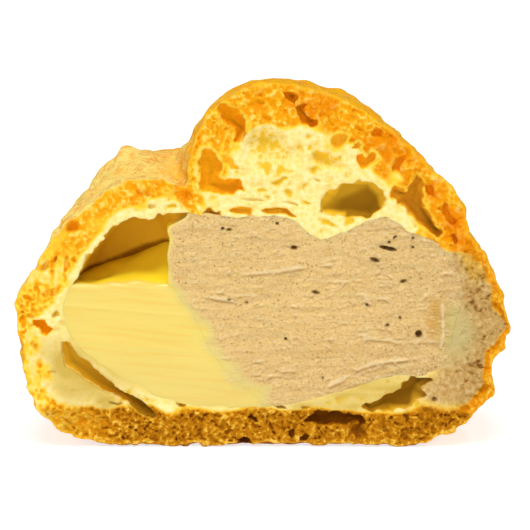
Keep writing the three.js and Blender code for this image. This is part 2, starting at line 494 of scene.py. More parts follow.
CRUST = RoundedBody(
    cut_outline=(
        (3, 41.5), (8, 40.5), (13, 39.4), (17.5, 37.7), (21, 37.9), (26, 39.1), (31, 38.7), (38, 37.8),
        (45, 37.4), (54, 37.7), (64, 38), (76, 38.5), (87, 38.8), (98, 37.4), (106, 34.7), (113, 31),
        (118, 28), (124, 24.8), (129, 27.8), (135, 30.9), (143, 33.2), (152, 35.3), (160, 37.6),
        (171, 40.2), (179, 42.9), (186, 43.3), (194, 43.6), (201, 44.3), (206, 44.2), (212, 42.8),
        (224, 37), (239, 32), (270, 28.6), (299, 31.4), (316, 37.2), (327, 41.1), (334, 42.8),
        (339, 43.6), (343.5, 41.6), (347, 42), (351, 43.1), (356, 42.8),
    ),
    back_outline=(
        (5, 41.5), (12, 39.2), (20, 37.2), (32, 37.2), (50, 37.2), (80, 37), (98, 35), (107, 31.5),
        (117, 29.2), (127, 32), (140, 35), (170, 40), (200, 44.5), (235, 33), (270, 28.6), (305, 33),
        (340, 44),
    ),
    depth=PUFF_DEPTH,
    lobes=(
        Lobe((-0.63, 0.34, 0.67), 0.3, 0.135),
        Lobe((0.2, 0.3, 0.95), 0.36, 0.02),
        Lobe((0.62, 0.5, 0.6), 0.4, 0.015),
        Lobe((-0.1, 0.85, 0.52), 0.42, 0.05),
        Lobe((-0.82, 0.56, 0.1), 0.42, 0.03),
        Lobe((0.84, 0.54, -0.05), 0.34, 0.03),
        Lobe((0.45, 0.88, 0.1), 0.38, 0.05),
        Lobe((-0.42, 0.9, -0.05), 0.4, 0.04),
    ),
)

CAVITY = RoundedBody(
    cut_outline=(
        (2, 34.5), (10, 34), (17, 32.6), (25, 28.8), (31, 26.9), (35, 25.6), (38, 22.8), (41, 19.2),
        (45, 15.6), (50, 14.4), (60, 14.4), (70, 15.2), (99, 15.2), (110, 15.9), (117, 16.9), (123, 18.3),
        (129, 20.1), (140, 24.3), (150, 28.6), (161, 30.7), (171, 32.8), (181, 34.8), (189, 34.2),
        (196, 32.3), (205, 29), (219, 25.4), (247, 20.1), (275, 18.4), (295, 19), (319, 22.1),
        (331, 26.3), (336, 31), (341, 33.4), (348, 33.4), (355, 33.6),
    ),
    back_outline=(
        (5, 34), (55, 24), (95, 19), (130, 24), (175, 33), (215, 27), (270, 18.4), (325, 27),
    ),
    depth=CAVITY_DEPTH,
)


@dataclass(frozen=True)
class Hollow:
    """An air pocket that opens at the cut, drawn by its rim there."""

    rim: Knots  # (x, z) round the opening, in millimetres
    depth: float
    ragged: float = 0.22  # how uneven the rim is
    softness: float = 0.15  # how wide the rim's rounding is
    lean: tuple[float, float] = (0.0, 0.0)  # towards where it is deeper, along X and Z
    toast: float = -1.0  # how toasted its lining is, from 0 to 1, or -1 for the same as the crumb round it
    painted_shade: float = 0.0  # how much shade is painted on its lining, growing with depth
    lip: float = 0.0  # how much paler and flatter the crumb is right round it

    MARGIN = 1.5  # how far round the hollow the piece is worked on, in millimetres
    LEAST_TILT = 0.06  # share of the depth that is left on the side that the hollow leans away from
    MOST_TILT = 1.6

    def away(self, grid: Grid, uneven: np.ndarray) -> np.ndarray:
        """How far each place in the cut is outside the rim, in millimetres.

        Args:
            grid: the places.
            uneven: relief in the cut, with a typical size of 1.

        Returns:
            One distance for each place, below zero inside.
        """
        x, _, z = grid.axes
        away = rim_distance(self.rim, x, z)
        return away + self.ragged * uneven * min(1.0, -away.min())

    def carve(self, field: np.ndarray, looks: dict[str, np.ndarray], grid: Grid, uneven: np.ndarray) -> None:
        """Takes the hollow out of a field, and gives it its lining.

        Args:
            field: the piece's distances, which are changed.
            looks: the crumb's looks in the cut, which are changed.
            grid: where they are.
            uneven: relief in the cut, with a typical size of 1.
        """
        xs, zs = (np.array(column) for column in zip(*self.rim))
        low = np.array((xs.min(), 0, zs.min())) - self.MARGIN
        high = np.array((xs.max(), self.depth, zs.max())) + self.MARGIN
        window = grid.window(low, high)
        flat = (window[0], slice(None), window[2])
        part = Grid(grid.x[window[0]], grid.y[window[1]], grid.z[window[2]])
        x, y, z = part.axes
        away = self.away(part, uneven[flat])
        inward = np.clip(away / away.min(), 0, 1)
        towards = (x - xs.mean()) * self.lean[0] + (z - zs.mean()) * self.lean[1]
        tilted = np.clip(1 + towards / max(np.ptp(xs), np.ptp(zs)) * 2, self.LEAST_TILT, self.MOST_TILT)
        bowl = np.sqrt(1 - (1 - inward) ** 2) * self.depth * tilted
        field[window] = soft_max(field[window], -np.maximum(away, y - bowl), self.softness)
        lined = smooth(away, 0.05, -0.15)
        # The lining gets painted shade, darker with depth and where the hollow leans deeper.
        lining_shade = self.painted_shade * tilted * (0.35 + 0.65 * np.sqrt(inward))
        looks["painted_shade"][flat] += (lining_shade - looks["painted_shade"][flat]) * lined
        ring = self.lip * smooth(away, 0.8, 0.35) * (1 - lined)
        looks["relief"][flat] *= (1 - lined) * (1 - ring)
        looks["toast"][flat] *= 1 - ring
        if self.toast >= 0:
            looks["browned"][flat] *= 1 - lined
            looks["toast"][flat] += (self.toast - looks["toast"][flat]) * lined


@dataclass(frozen=True)
class Oval:
    """An oval in the cut."""

    x: float
    z: float
    along: float  # half its length
    across: float  # half its width
    tilt: float = 0.0  # degrees anticlockwise

    def places(self, grid: Grid) -> tuple[np.ndarray, np.ndarray]:
        """How far along and across each place in the cut is from the middle, as shares of the half sizes."""
        x, _, z = grid.axes
        turn = math.radians(self.tilt)
        along = ((x - self.x) * math.cos(turn) + (z - self.z) * math.sin(turn)) / self.along
        across = ((z - self.z) * math.cos(turn) - (x - self.x) * math.sin(turn)) / self.across
        return along, across


@dataclass(frozen=True)
class Patch(Oval):
    """A soft-edged oval place on the cut, such as a stain or a wet spot."""

    soft: float = 0.35

    def share(self, grid: Grid, uneven: np.ndarray) -> np.ndarray:
        """How much each place in the cut belongs to the patch, from 0 to 1.

        Args:
            grid: the places.
            uneven: what the patch's edge wanders by, as a share of its size.

        Returns:
            One number for each place in the cut.
        """
        return smooth(np.hypot(*self.places(grid)) + uneven, 1 + self.soft, 1 - self.soft)


@dataclass(frozen=True)
class Pore(Oval):
    """A small round or oval air hole near the cut."""

    into: float = 0.8  # half its depth

    ROUNDING = 0.12  # how wide its rim's rounding is, in millimetres

    def share(self, grid: Grid) -> np.ndarray:
        """How much each place in the cut belongs to the pore, from 0 to 1."""
        return smooth(np.hypot(*self.places(grid)), 1.0, 0.6)

    def carve(self, field: np.ndarray, grid: Grid) -> None:
        """Takes the pore out of a field.

        Args:
            field: the piece's distances, which are changed.
            grid: where they are.
        """
        sizes = (self.along, self.across, self.into)
        reach = max(sizes) + 0.8
        centre = (self.x, 0.0, self.z)
        window = grid.window([c - reach for c in centre], [c + reach for c in centre])
        part = Grid(grid.x[window[0]], grid.y[window[1]], grid.z[window[2]])
        shares = (*self.places(part), part.axes[1] / self.into)
        form = sum(share * share for share in shares)
        steep = np.sqrt(sum((share / size) ** 2 for share, size in zip(shares, sizes))) + TINY
        gap = np.maximum((form - 1) / 2 / steep, -min(sizes))
        field[window] = soft_max(field[window], -gap, self.ROUNDING)


# Air pockets in the shell, from the crown down to the base.
HOLLOWS = (
    # The crown.
    Hollow(((-7.6, 61.0), (-6.3, 61.4), (-5.3, 60.2), (-4.0, 58.9), (-2.9, 58.1), (-2.4, 56.4),
           (-2.6, 55.5), (-3.6, 54.2), (-4.9, 54.6), (-5.2, 56.6), (-6.3, 57.0), (-7.6, 58.1),
           (-8.1, 59.7)), 2.2, lean=(0.35, -0.3), toast=1.0, painted_shade=0.2, lip=0.5),
    # By the crease between the crown and the left lobe.
    Hollow(((-10.0, 53.3), (-8.3, 52.3), (-7.4, 50.8), (-7.4, 49.6), (-8.2, 48.3), (-8.1, 47.5),
           (-6.3, 47.5), (-4.4, 47.9), (-3.5, 47.2), (-3.5, 45.7), (-5.7, 45.2), (-9.0, 45.2),
           (-10.7, 45.5), (-11.5, 46.8), (-11.3, 48.7), (-11.6, 50.6), (-10.9, 52.1)), 2.4,
           lean=(0.35, -0.2), toast=0.85, lip=0.8),
    Hollow(((-6.3, 51.6), (-5.5, 51.5), (-4.9, 50.4), (-3.6, 49.6), (-5.7, 49.4), (-6.4, 50.4)), 1.1,
           toast=0.5),
    Hollow(((-1.4, 56.2), (-0.4, 56.7), (1.0, 56.8), (2.7, 56.2), (3.7, 55.3), (3.9, 54.3), (2.7, 54.1),
           (0.6, 54.2), (-0.6, 54.8), (-1.5, 55.4)), 1.0, ragged=0.1, softness=0.2, lean=(0.3, 0.3),
           toast=0.35, painted_shade=0.1, lip=1.0),
    Hollow(((3.7, 57.4), (5.2, 57.7), (5.5, 57.0), (4.2, 56.7)), 0.7, ragged=0.1, toast=0.7),
    Hollow(((3.1, 63.0), (4.7, 63.3), (5.7, 62.7), (6.1, 61.4), (5.3, 60.6), (4.4, 61.0), (4.0, 62.1)),
           2.4, toast=1.0, painted_shade=0.75),
    Hollow(((6.0, 60.8), (7.2, 60.7), (7.6, 58.9), (9.5, 58.2), (9.3, 57.3), (7.9, 57.0), (6.9, 57.3),
           (5.8, 59.1)), 2.6, toast=1.0, painted_shade=0.7),
    # The wide soft dome, and the long soft cell beside it.
    Hollow(((-3.2, 54.9), (-1.8, 56.2), (-0.3, 56.7), (1.6, 56.5), (3.2, 55.5), (4.4, 54.0), (6.2, 54.3),
           (7.1, 52.8), (6.8, 50.4), (4.4, 47.9), (0.3, 47.9), (-2.7, 49.4), (-3.7, 52.2)), 1.5,
           ragged=0.1, softness=0.2, lean=(0.0, 0.7), toast=0.05, painted_shade=0.05, lip=1.0),
    Hollow(((4.9, 54.4), (6.6, 54.6), (7.2, 53.6), (6.4, 52.4), (5.2, 52.8)), 0.5, softness=0.4),
    Hollow(((8.0, 52.5), (9.2, 52.8), (11.2, 52.5), (13.6, 51.0), (14.8, 50.2), (13.3, 48.9),
           (11.2, 49.2), (9.2, 49.9), (8.1, 51.3)), 1.5, ragged=0.1, softness=0.2, lean=(-0.3, 0.5),
           toast=0.15, painted_shade=0.15, lip=1.0),
    # Small pockets round the dome, and the three flat slits over the mocha cream.
    Hollow(((11.9, 55.3), (13.0, 55.8), (14.4, 55.2), (14.2, 54.1), (13.3, 52.9), (12.6, 52.8),
           (11.7, 54.3)), 1.6, ragged=0.1, toast=0.6, lip=0.7),
    Hollow(((15.1, 53.2), (16.3, 54.3), (17.0, 53.8), (16.7, 52.9), (15.4, 52.9)), 1.1, ragged=0.1,
           toast=0.6, lip=0.7),
    Hollow(((8.3, 48.1), (9.4, 47.9), (10.3, 47.4), (9.4, 47.1), (8.6, 47.6)), 1.2, ragged=0.1),
    Hollow(((-2.5, 46.9), (-0.7, 47.2), (1.0, 46.4), (-0.3, 46.1), (-1.8, 46.1)), 0.7),
    Hollow(((-4.4, 44.3), (-2.5, 44.5), (-0.7, 44.5), (0.4, 43.9), (-1.0, 43.7), (-2.5, 43.8)), 1.0,
           ragged=0.1),
    Hollow(((3.1, 43.8), (4.7, 43.9), (6.0, 43.4), (6.5, 42.8), (5.1, 43.2), (3.6, 43.5)), 1.0,
           ragged=0.1),
    Hollow(((-10.9, 41.9), (-9.2, 42.4), (-7.2, 42.3), (-7.6, 41.3), (-8.5, 40.6), (-10.2, 40.6)), 2.0,
           toast=0.6, painted_shade=0.5),
    Hollow(((-6.6, 42.2), (-5.3, 42.7), (-3.3, 42.8), (-1.8, 42.3), (-2.5, 41.5), (-4.8, 41.5)), 2.0,
           toast=0.6, painted_shade=0.5),
    Hollow(((-0.9, 42.2), (0.4, 42.5), (2.5, 43.0), (4.2, 42.5), (5.8, 41.1), (4.2, 41.2), (2.7, 41.7),
           (0.8, 41.5)), 2.2, toast=0.6, painted_shade=0.9),
    # Over the mocha cream.
    Hollow(((9.6, 41.5), (9.8, 43.0), (10.9, 44.9), (12.5, 46.5), (14.6, 46.9), (16.7, 47.7),
           (18.8, 47.4), (20.4, 46.0), (21.2, 44.6), (20.8, 43.3), (20.2, 41.9), (17.9, 40.8),
           (16.8, 40.7), (15.4, 41.1), (13.7, 41.2), (11.6, 41.2)), 4.2, toast=0.1, painted_shade=0.6,
           lean=(0.15, -0.1), lip=1.0),
    # The long hollow in the right shoulder, and the pockets round it.
    Hollow(((26.6, 48.4), (27.3, 47.7), (27.6, 46.0), (27.8, 44.2), (28.3, 42.4), (29.2, 40.8),
           (30.4, 39.2), (31.0, 38.3), (30.4, 37.5), (29.4, 38.0), (28.2, 39.0), (27.0, 40.3),
           (25.5, 41.5), (24.3, 42.8), (22.8, 44.2), (21.8, 45.4), (21.8, 46.5), (23.5, 46.6),
           (24.8, 46.0), (25.5, 46.7), (26.2, 47.7)), 6.0, toast=0.65, painted_shade=0.75, lean=(0.4, -0.3),
           lip=0.5),
    Hollow(((16.0, 52.0), (17.2, 52.3), (17.7, 51.6), (18.8, 52.7), (19.4, 52.3), (19.7, 51.4),
           (19.1, 50.6), (17.9, 49.5), (17.0, 49.5), (16.3, 50.4)), 1.5, ragged=0.1, toast=0.8, painted_shade=0.2,
           lip=0.7),
    Hollow(((18.5, 56.4), (19.6, 56.8), (20.6, 56.2), (20.2, 55.1), (19.0, 55.0)), 1.4),
    Hollow(((22.9, 51.5), (24.0, 52.0), (24.8, 51.5), (24.2, 50.2), (23.4, 49.1), (22.3, 49.1),
           (22.7, 50.4)), 1.5),
    Hollow(((28.0, 46.9), (29.2, 47.0), (29.8, 45.7), (29.6, 44.7), (28.6, 44.7), (28.0, 45.7)), 1.4),
    Hollow(((30.9, 43.4), (31.7, 43.8), (32.6, 42.1), (33.4, 40.4), (33.2, 39.6), (31.9, 40.2),
           (31.1, 41.9)), 1.5),
    Hollow(((32.5, 37.9), (33.2, 38.9), (34.0, 37.9), (34.2, 36.4), (33.4, 36.2), (32.6, 37.0)), 1.7),
    # The crust on the left, up to the crease.
    Hollow(((-34.4, 39.7), (-33.3, 40.6), (-32.3, 40.2), (-32.4, 39.0), (-33.6, 38.2), (-34.5, 38.8)),
           1.7),
    Hollow(((-38.9, 32.4), (-38.0, 33.6), (-37.3, 33.8), (-37.4, 32.1), (-38.1, 31.0), (-38.8, 31.2)),
           1.7),
    Hollow(((-36.8, 33.1), (-36.3, 34.5), (-35.8, 34.4), (-36.1, 33.1), (-36.6, 32.6)), 1.4, ragged=0.1),
    Hollow(((-34.9, 32.9), (-34.4, 34.3), (-33.9, 34.5), (-34.0, 32.9), (-34.4, 31.2), (-34.9, 31.0)),
           1.2, ragged=0.1),
    Hollow(((-38.9, 27.7), (-37.3, 28.4), (-35.7, 28.6), (-35.8, 27.2), (-37.3, 26.4), (-38.7, 26.7)),
           1.3),
    Hollow(((-22.2, 45.4), (-21.0, 46.1), (-19.4, 45.6), (-18.8, 44.7), (-20.1, 44.1), (-21.5, 44.8)),
           0.8),
    Hollow(((-15.7, 47.0), (-14.3, 46.8), (-12.9, 45.4), (-12.2, 44.0), (-13.3, 43.7), (-15.0, 44.2),
           (-15.4, 45.6)), 1.1),
    Hollow(((-20.1, 43.4), (-18.7, 43.4), (-18.7, 42.7), (-19.9, 42.5)), 1.0, ragged=0.1),
    # The left wall.
    Hollow(((-40.6, 22.8), (-38.8, 23.3), (-37.8, 22.3), (-37.3, 20.9), (-37.8, 20.0), (-39.2, 20.9),
           (-40.4, 21.8)), 2.2, toast=1.0, painted_shade=0.3, lip=0.9),
    Hollow(((-37.1, 23.7), (-36.3, 25.0), (-35.3, 23.7), (-35.7, 23.2), (-37.1, 23.2)), 1.5, lip=0.9),
    Hollow(((-35.8, 23.0), (-35.1, 23.2), (-34.7, 22.1), (-35.3, 21.3), (-35.9, 21.8)), 0.9),
    Hollow(((-37.1, 21.6), (-36.1, 21.9), (-35.6, 21.0), (-36.4, 20.6), (-37.2, 21.0)), 0.8),
    # The slit under the custard.
    Hollow(((-35.5, 19.0), (-34.3, 19.1), (-33.4, 18.0), (-32.7, 16.7), (-30.9, 15.6), (-29.6, 14.3),
           (-28.4, 13.1), (-27.4, 12.2), (-26.2, 11.2), (-25.0, 10.2), (-23.4, 9.3), (-21.9, 8.6),
           (-20.7, 8.1), (-19.7, 6.9), (-18.9, 5.5), (-19.3, 4.9), (-20.7, 5.3), (-21.9, 5.8),
           (-22.6, 6.5), (-23.8, 7.7), (-25.0, 8.6), (-26.6, 9.4), (-27.8, 9.9), (-29.4, 10.9),
           (-31.3, 11.9), (-32.7, 13.1), (-34.1, 14.1), (-35.0, 15.1), (-35.4, 16.7), (-35.6, 18.2)), 4.5,
           ragged=0.1, lean=(0.25, -0.15), toast=0.0, painted_shade=0.6),
    # Small pockets low in the left wall.
    Hollow(((-37.6, 13.8), (-36.6, 14.0), (-36.3, 13.5), (-37.3, 13.3)), 0.8, ragged=0.1),
    Hollow(((-27.3, 8.2), (-25.7, 8.1), (-24.3, 7.8), (-25.7, 7.5), (-26.8, 7.8)), 1.2, ragged=0.1),
    Hollow(((-15.6, 7.9), (-13.7, 8.1), (-13.6, 7.3), (-14.7, 7.1)), 2.0, ragged=0.1),
    Hollow(((-40.8, 19.0), (-40.2, 19.2), (-40.1, 18.3), (-40.7, 18.0)), 1.0, ragged=0.1),
    # The base.
    Hollow(((-3.1, 5.8), (-2.1, 6.1), (-1.3, 5.1), (-1.0, 4.5), (-2.6, 4.8), (-3.2, 5.1)), 2.4),
    Hollow(((-7.2, 5.8), (-6.5, 6.8), (-4.7, 7.0), (-3.5, 6.3), (-4.0, 5.6), (-6.1, 5.3)), 0.7),
    Hollow(((7.3, 4.6), (8.1, 5.8), (10.4, 6.6), (13.5, 6.4), (15.1, 6.1), (17.2, 5.3), (18.2, 4.0),
           (16.3, 4.4), (14.6, 3.9), (11.6, 3.9), (9.3, 4.3)), 4.5),
    Hollow(((14.6, 4.4), (16.5, 5.1), (18.1, 3.7), (18.1, 1.8), (16.5, 1.0), (15.1, 2.0)), 2.0),
    Hollow(((4.3, 3.0), (5.6, 3.5), (5.7, 2.0), (4.9, 1.4), (4.4, 2.0)), 2.2),
    Hollow(((6.0, 1.8), (7.6, 2.4), (8.8, 2.2), (7.6, 1.1), (6.3, 1.0)), 2.2),
    # A notch under the base.
    Hollow(((-4.7, 0.2), (-4.5, 1.1), (-3.5, 2.0), (-2.4, 1.6), (-1.9, 0.2)), 4.0),
    # Flat cells just under the creams.
    Hollow(((1.8, 7.4), (3.0, 7.7), (4.5, 7.1), (3.5, 6.8), (2.3, 7.0)), 2.0, ragged=0.1),
    Hollow(((5.8, 7.2), (7.4, 7.5), (8.8, 7.2), (7.2, 6.9)), 1.0, ragged=0.1),
    # The hollow under the mocha cream.
    Hollow(((16.4, 7.4), (18.7, 7.9), (21.3, 9.2), (23.5, 10.5), (25.2, 12.1), (26.1, 12.8), (28.4, 12.6),
           (29.8, 12.1), (28.7, 11.8), (28.2, 10.5), (28.8, 9.4), (27.5, 8.1), (25.0, 6.7), (22.3, 6.1),
           (19.5, 6.4), (17.6, 6.9)), 5.0, lean=(-0.2, 0.4), toast=0.1, painted_shade=1.1),
    # The crack in the right side.
    Hollow(((35.9, 15.3), (37.5, 15.0), (39.0, 14.6), (41.2, 14.7), (41.2, 14.1), (39.0, 13.9),
           (37.4, 14.3), (36.0, 14.7)), 0.9, ragged=0.2, toast=1.0, painted_shade=0.2),
    # By the hollow under the mocha cream.
    Hollow(((29.4, 8.9), (30.3, 9.2), (30.7, 8.5), (29.9, 8.1)), 1.4, ragged=0.1),
)

DAMP = Patch(34.1, 20.9, 2.7, 4.6, soft=0.7)  # where whey from the cream soaked into the right side
ORANGE_SPOT = Patch(30.1, 23.0, 1.4, 3.6, soft=0.7)  # in the mocha cream, by its dragged edge
WET_LEFT = Patch(-31.0, 12.0, 10.5, 5.6, -36)  # the film of egg under the custard
WET_AND_SHADED_RIGHT = Patch(15.0, 9.0, 14.0, 3.6, 16)  # and the one under the mocha cream; its darker colour there is also painted shade
SLOT_SHADOW = Patch(17.4, 42.0, 2.7, 1.2, -5, 0.8)  # painted shadow in the lowest part of the hollow over the mocha cream

# Where the creams meet in the cut, from below the filling to above it.
CREAM_SEAM = (
    (3.0, 2.0), (-0.5, 8.6), (-5.0, 12.2), (-9.0, 17.0), (-12.4, 24.3), (-16.2, 29.0), (-16.7, 34.5),
    (-16.1, 37.2), (-16.9, 38.9), (-16.4, 39.8), (-14.6, 40.4), (-13.2, 41.0), (-13.0, 48.0),
)

# Air holes in the mocha cream.
AIR_HOLES = (
    Pore(21.7, 35.6, 1.7, 0.36, -12, into=2.0),
    Pore(27.2, 20.4, 0.66, 0.66, into=2.0),
    Pore(5.3, 35.7, 0.7, 0.4, into=1.2),
    Pore(-7.1, 39.1, 0.34, 0.3, into=0.9),
    Pore(-6.0, 38.9, 0.5, 0.28, into=0.7),
    Pore(2.4, 40.0, 0.3, 0.28),
    Pore(22.9, 37.6, 0.5, 0.24, 40),
    Pore(21.9, 36.7, 0.3, 0.28),
    Pore(26.0, 37.4, 0.3, 0.28),
    Pore(26.0, 35.8, 0.3, 0.28),
    Pore(19.4, 33.6, 1.0, 0.4, -20, into=0.7),
    Pore(24.4, 29.8, 0.8, 0.36, 20, into=0.6),
    Pore(9.1, 27.8, 0.9, 0.36, -10, into=0.6),
    Pore(3.9, 19.5, 0.36, 0.3, into=0.9),
    Pore(18.1, 25.6, 0.32, 0.28),
    Pore(21.7, 22.0, 0.5, 0.26, 30, into=0.7),
    Pore(23.9, 23.3, 0.32, 0.28),
    Pore(10.4, 12.5, 0.26, 0.24, into=0.7),
    Pore(-6.0, 26.5, 0.36, 0.26, into=0.6),
    Pore(-2.9, 26.0, 0.32, 0.26, into=0.6),
)


# ---- Colours and nodes ----------------------------------------------------------------------------


def linear(colour: str) -> tuple[float, float, float, float]:
    """Turns an sRGB hex colour into linear red, green, blue and alpha."""
    parts = [int(colour[i : i + 2], 16) / 255 for i in (1, 3, 5)]
    red, green, blue = (p / 12.92 if p <= 0.04045 else ((p + 0.055) / 1.055) ** 2.4 for p in parts)
    return red, green, blue, 1.0


def node(tree: bpy.types.NodeTree, kind: str, inputs: dict[Any, Any], **settings: Any) -> bpy.types.Node:
    """Adds one node with its settings and links.

    Args:
        tree: the material's nodes.
        kind: the node's type.
        inputs: for each input's name or number, a value or the output to link.
        settings: the node's own settings.

    Returns:
        The new node.
    """
    made = tree.nodes.new(kind)
    for name, value in settings.items():
        setattr(made, name, value)
    for name, value in inputs.items():
        if isinstance(value, bpy.types.NodeSocket):
            tree.links.new(value, made.inputs[name])
        else:
            made.inputs[name].default_value = value
    return made


def layered(tree: bpy.types.NodeTree, first: Any, layers: Sequence[tuple[Any, Any]]) -> Any:
    """Lays colours over one another.

    Args:
        tree: the material's nodes.
        first: the lowest colour, or the output that gives it.
        layers: for each further colour, where it lies and the colour.

    Returns:
        The output that gives the top colour.
    """
    colour = first
    for share, over in layers:
        colour = node(tree, "ShaderNodeMix", {0: share, 6: colour, 7: over}, data_type="RGBA").outputs[2]
    return colour


def scale_for(size_mm: float) -> float:
    """The pattern scale whose features are so many millimetres apart."""
    return 1 / (size_mm * MM)


class Finish:
    """What the finishes share: they read a piece's own attributes and turn them into soft shares."""

    READ: tuple[str, ...] = ()  # the attributes' names

    def begin(self, name: str) -> tuple[bpy.types.Material, dict[str, bpy.types.NodeSocket]]:
        """Starts a material.

        Args:
            name: what to call it.

        Returns:
            The material with nothing but its attributes, and the output of each of them.
        """
        made = bpy.data.materials.new(name)
        made.use_nodes = True
        made.node_tree.nodes.clear()
        mask = {}
        for read in self.READ:
            mask[read] = node(made.node_tree, "ShaderNodeAttribute", {}, attribute_name=read).outputs["Fac"]
        return made, mask

    def soft_steps(
        self, tree: bpy.types.NodeTree, steps: dict[str, tuple[Any, float, float, float]]
    ) -> dict[str, bpy.types.NodeSocket]:
        """Turns values into shares that rise softly.

        Args:
            tree: the material's nodes.
            steps: for each share, what it follows, where it starts, where it is full, and how much that is.

        Returns:
            Each share's output.
        """
        share = {}
        for name, (value, start, full, most) in steps.items():
            limits = {"Value": value, "From Min": start, "From Max": full, "To Max": most}
            step = node(tree, "ShaderNodeMapRange", limits, interpolation_type="SMOOTHSTEP")
            share[name] = step.outputs[0]
        return share


@dataclass(frozen=True)
class Tones:
    """A crumb's colours: its raised specks, its walls, its shallow cells, its pits, and far down in it, each
    darker than the one before, which paints the shade in its cells and hollows over the crumb's own tone.
    """

    speck: str
    wall: str
    cell: str
    pit: str
    deep: str


@dataclass(frozen=True)
class BakedChoux(Finish):
    """Choux pastry: a dry baked crust outside, and an open egg-rich crumb where it was cut.

    The crust is matte and golden with paler stretch marks. The crumb goes from pale, moist and a
    little translucent inside to a toasted orange sponge under the crust and a browned one at the base.
    """

    moist: Tones = Tones("#F9E8A4", "#F8E598", "#F6DC82", "#EABA2C", "#90600A")
    golden: str = "#FFD23C"  # where the crumb starts to toast
    toasted: Tones = Tones("#FFDA6A", "#FFC434", "#F8A40E", "#F09E0A", "#BC7206")
    browned: Tones = Tones("#F0C450", "#DA9E24", "#BC780C", "#8E5208", "#4A2406")
    soaked: Tones = Tones("#D4B67C", "#CCA868", "#C09858", "#946428", "#5A3818")
    membrane: str = "#CFAE46"
    damp: str = "#C8B478"
    stained: str = "#F0D26C"  # by the custard
    scorched: str = "#EC8000"
    rim: str = "#FFBC1C"
    crust: str = "#FFB816"
    crust_pale: str = "#FFDE78"
    crust_ruddy: str = "#FFA63E"
    crust_crack: str = "#E8963A"
    # Browned underside; along the lowest millimetre it is also a painted contact shadow.
    underside_and_contact_shadow: str = "#8A4C14"
    lumps_mm: float = 1.15  # the sponge's uneven browning
    cells_mm: float = 0.9  # its small cells
    bent_mm: float = 1.6  # how far the cells' walls are bent
    grain_mm: float = 0.45
    stretch_mm: float = 2.0  # the marks where the rising crust was stretched
    blister_mm: float = 2.6

    READ = (
        "under", "toast", "pit", "soak", "browned", "wet", "damp", "stain", "fair", "foot", "open", "scorch",
    )

    def material(self) -> bpy.types.Material:
        """Builds the material.

        Returns:
            A material that reads the shell's own attributes.
        """
        made, mask = self.begin("baked_choux")
        tree = made.node_tree
        pattern = self.patterns(tree)
        share = self.shares(tree, mask, pattern)

        roughened = node(tree, "ShaderNodeMapRange", {"Value": mask["open"], "To Min": 0.12, "To Max": 0.6})
        roughened = node(tree, "ShaderNodeMath", {0: mask["wet"], 1: 0.3, 2: roughened.outputs[0]},
                         operation="MULTIPLY_ADD")
        bump = node(tree, "ShaderNodeBump", {
            "Height": pattern["sunk"], "Strength": roughened.outputs[0], "Distance": 0.5 * MM}, invert=True)
        roughness = node(tree, "ShaderNodeMapRange", {"Value": mask["wet"], "To Min": 0.75, "To Max": 0.2})
        shader = node(tree, "ShaderNodeBsdfPrincipled", {
            "Base Color": self.colour(tree, mask, share), "Roughness": roughness.outputs[0], "IOR": 1.45,
            "Specular IOR Level": 0.04, "Coat Weight": mask["wet"], "Coat Roughness": 0.15, "Coat IOR": 1.35,
            "Subsurface Weight": 0.1, "Subsurface Radius": (1.0, 0.6, 0.2), "Subsurface Scale": 0.8 * MM,
            "Normal": bump.outputs["Normal"]})
        node(tree, "ShaderNodeOutputMaterial", {"Surface": shader.outputs[0]})
        return made

    def patterns(self, tree: bpy.types.NodeTree) -> dict[str, bpy.types.NodeSocket]:
        """Adds the patterns of the crumb and the crust.

        Args:
            tree: the material's nodes.

        Returns:
            Each pattern's output.
        """
        place = node(tree, "ShaderNodeTexCoord", {}).outputs["Object"]
        lumps = node(tree, "ShaderNodeTexNoise", {
            "Vector": place, "Scale": scale_for(self.lumps_mm), "Detail": 5.0, "Roughness": 0.65,
            "Distortion": 1.0})
        bent = node(tree, "ShaderNodeVectorMath", {
            0: lumps.outputs["Color"], 1: (self.bent_mm * MM,) * 3, 2: place}, operation="MULTIPLY_ADD")
        cells = node(tree, "ShaderNodeTexVoronoi", {
            "Vector": bent.outputs[0], "Scale": scale_for(self.cells_mm)})
        grain = node(tree, "ShaderNodeTexNoise", {
            "Vector": place, "Scale": scale_for(self.grain_mm), "Detail": 2.0, "Roughness": 0.6})
        drawn = node(tree, "ShaderNodeMapping", {"Vector": place, "Scale": (0.3, 0.8, 1.0)})
        stretched = node(tree, "ShaderNodeTexNoise", {
            "Vector": drawn.outputs[0], "Scale": scale_for(self.stretch_mm), "Detail": 5.0, "Roughness": 0.6,
            "Distortion": 0.6})
        blisters = node(tree, "ShaderNodeTexNoise", {
            "Vector": place, "Scale": scale_for(self.blister_mm), "Detail": 5.0, "Roughness": 0.65})
        # Low on the walls' tops and high in the small cells, about 0.5 on the whole.
        sunk = node(tree, "ShaderNodeMath", {0: cells.outputs["Distance"], 1: -0.7, 2: 0.28},
                    operation="MULTIPLY_ADD")
        for pattern, part in ((lumps, 0.9), (grain, 0.5)):
            sunk = node(tree, "ShaderNodeMath", {0: pattern.outputs["Fac"], 1: part, 2: sunk.outputs[0]},
                        operation="MULTIPLY_ADD")
        return {
            "sunk": sunk.outputs[0],
            "stretched": stretched.outputs["Fac"],
            "blisters": blisters.outputs["Fac"],
        }

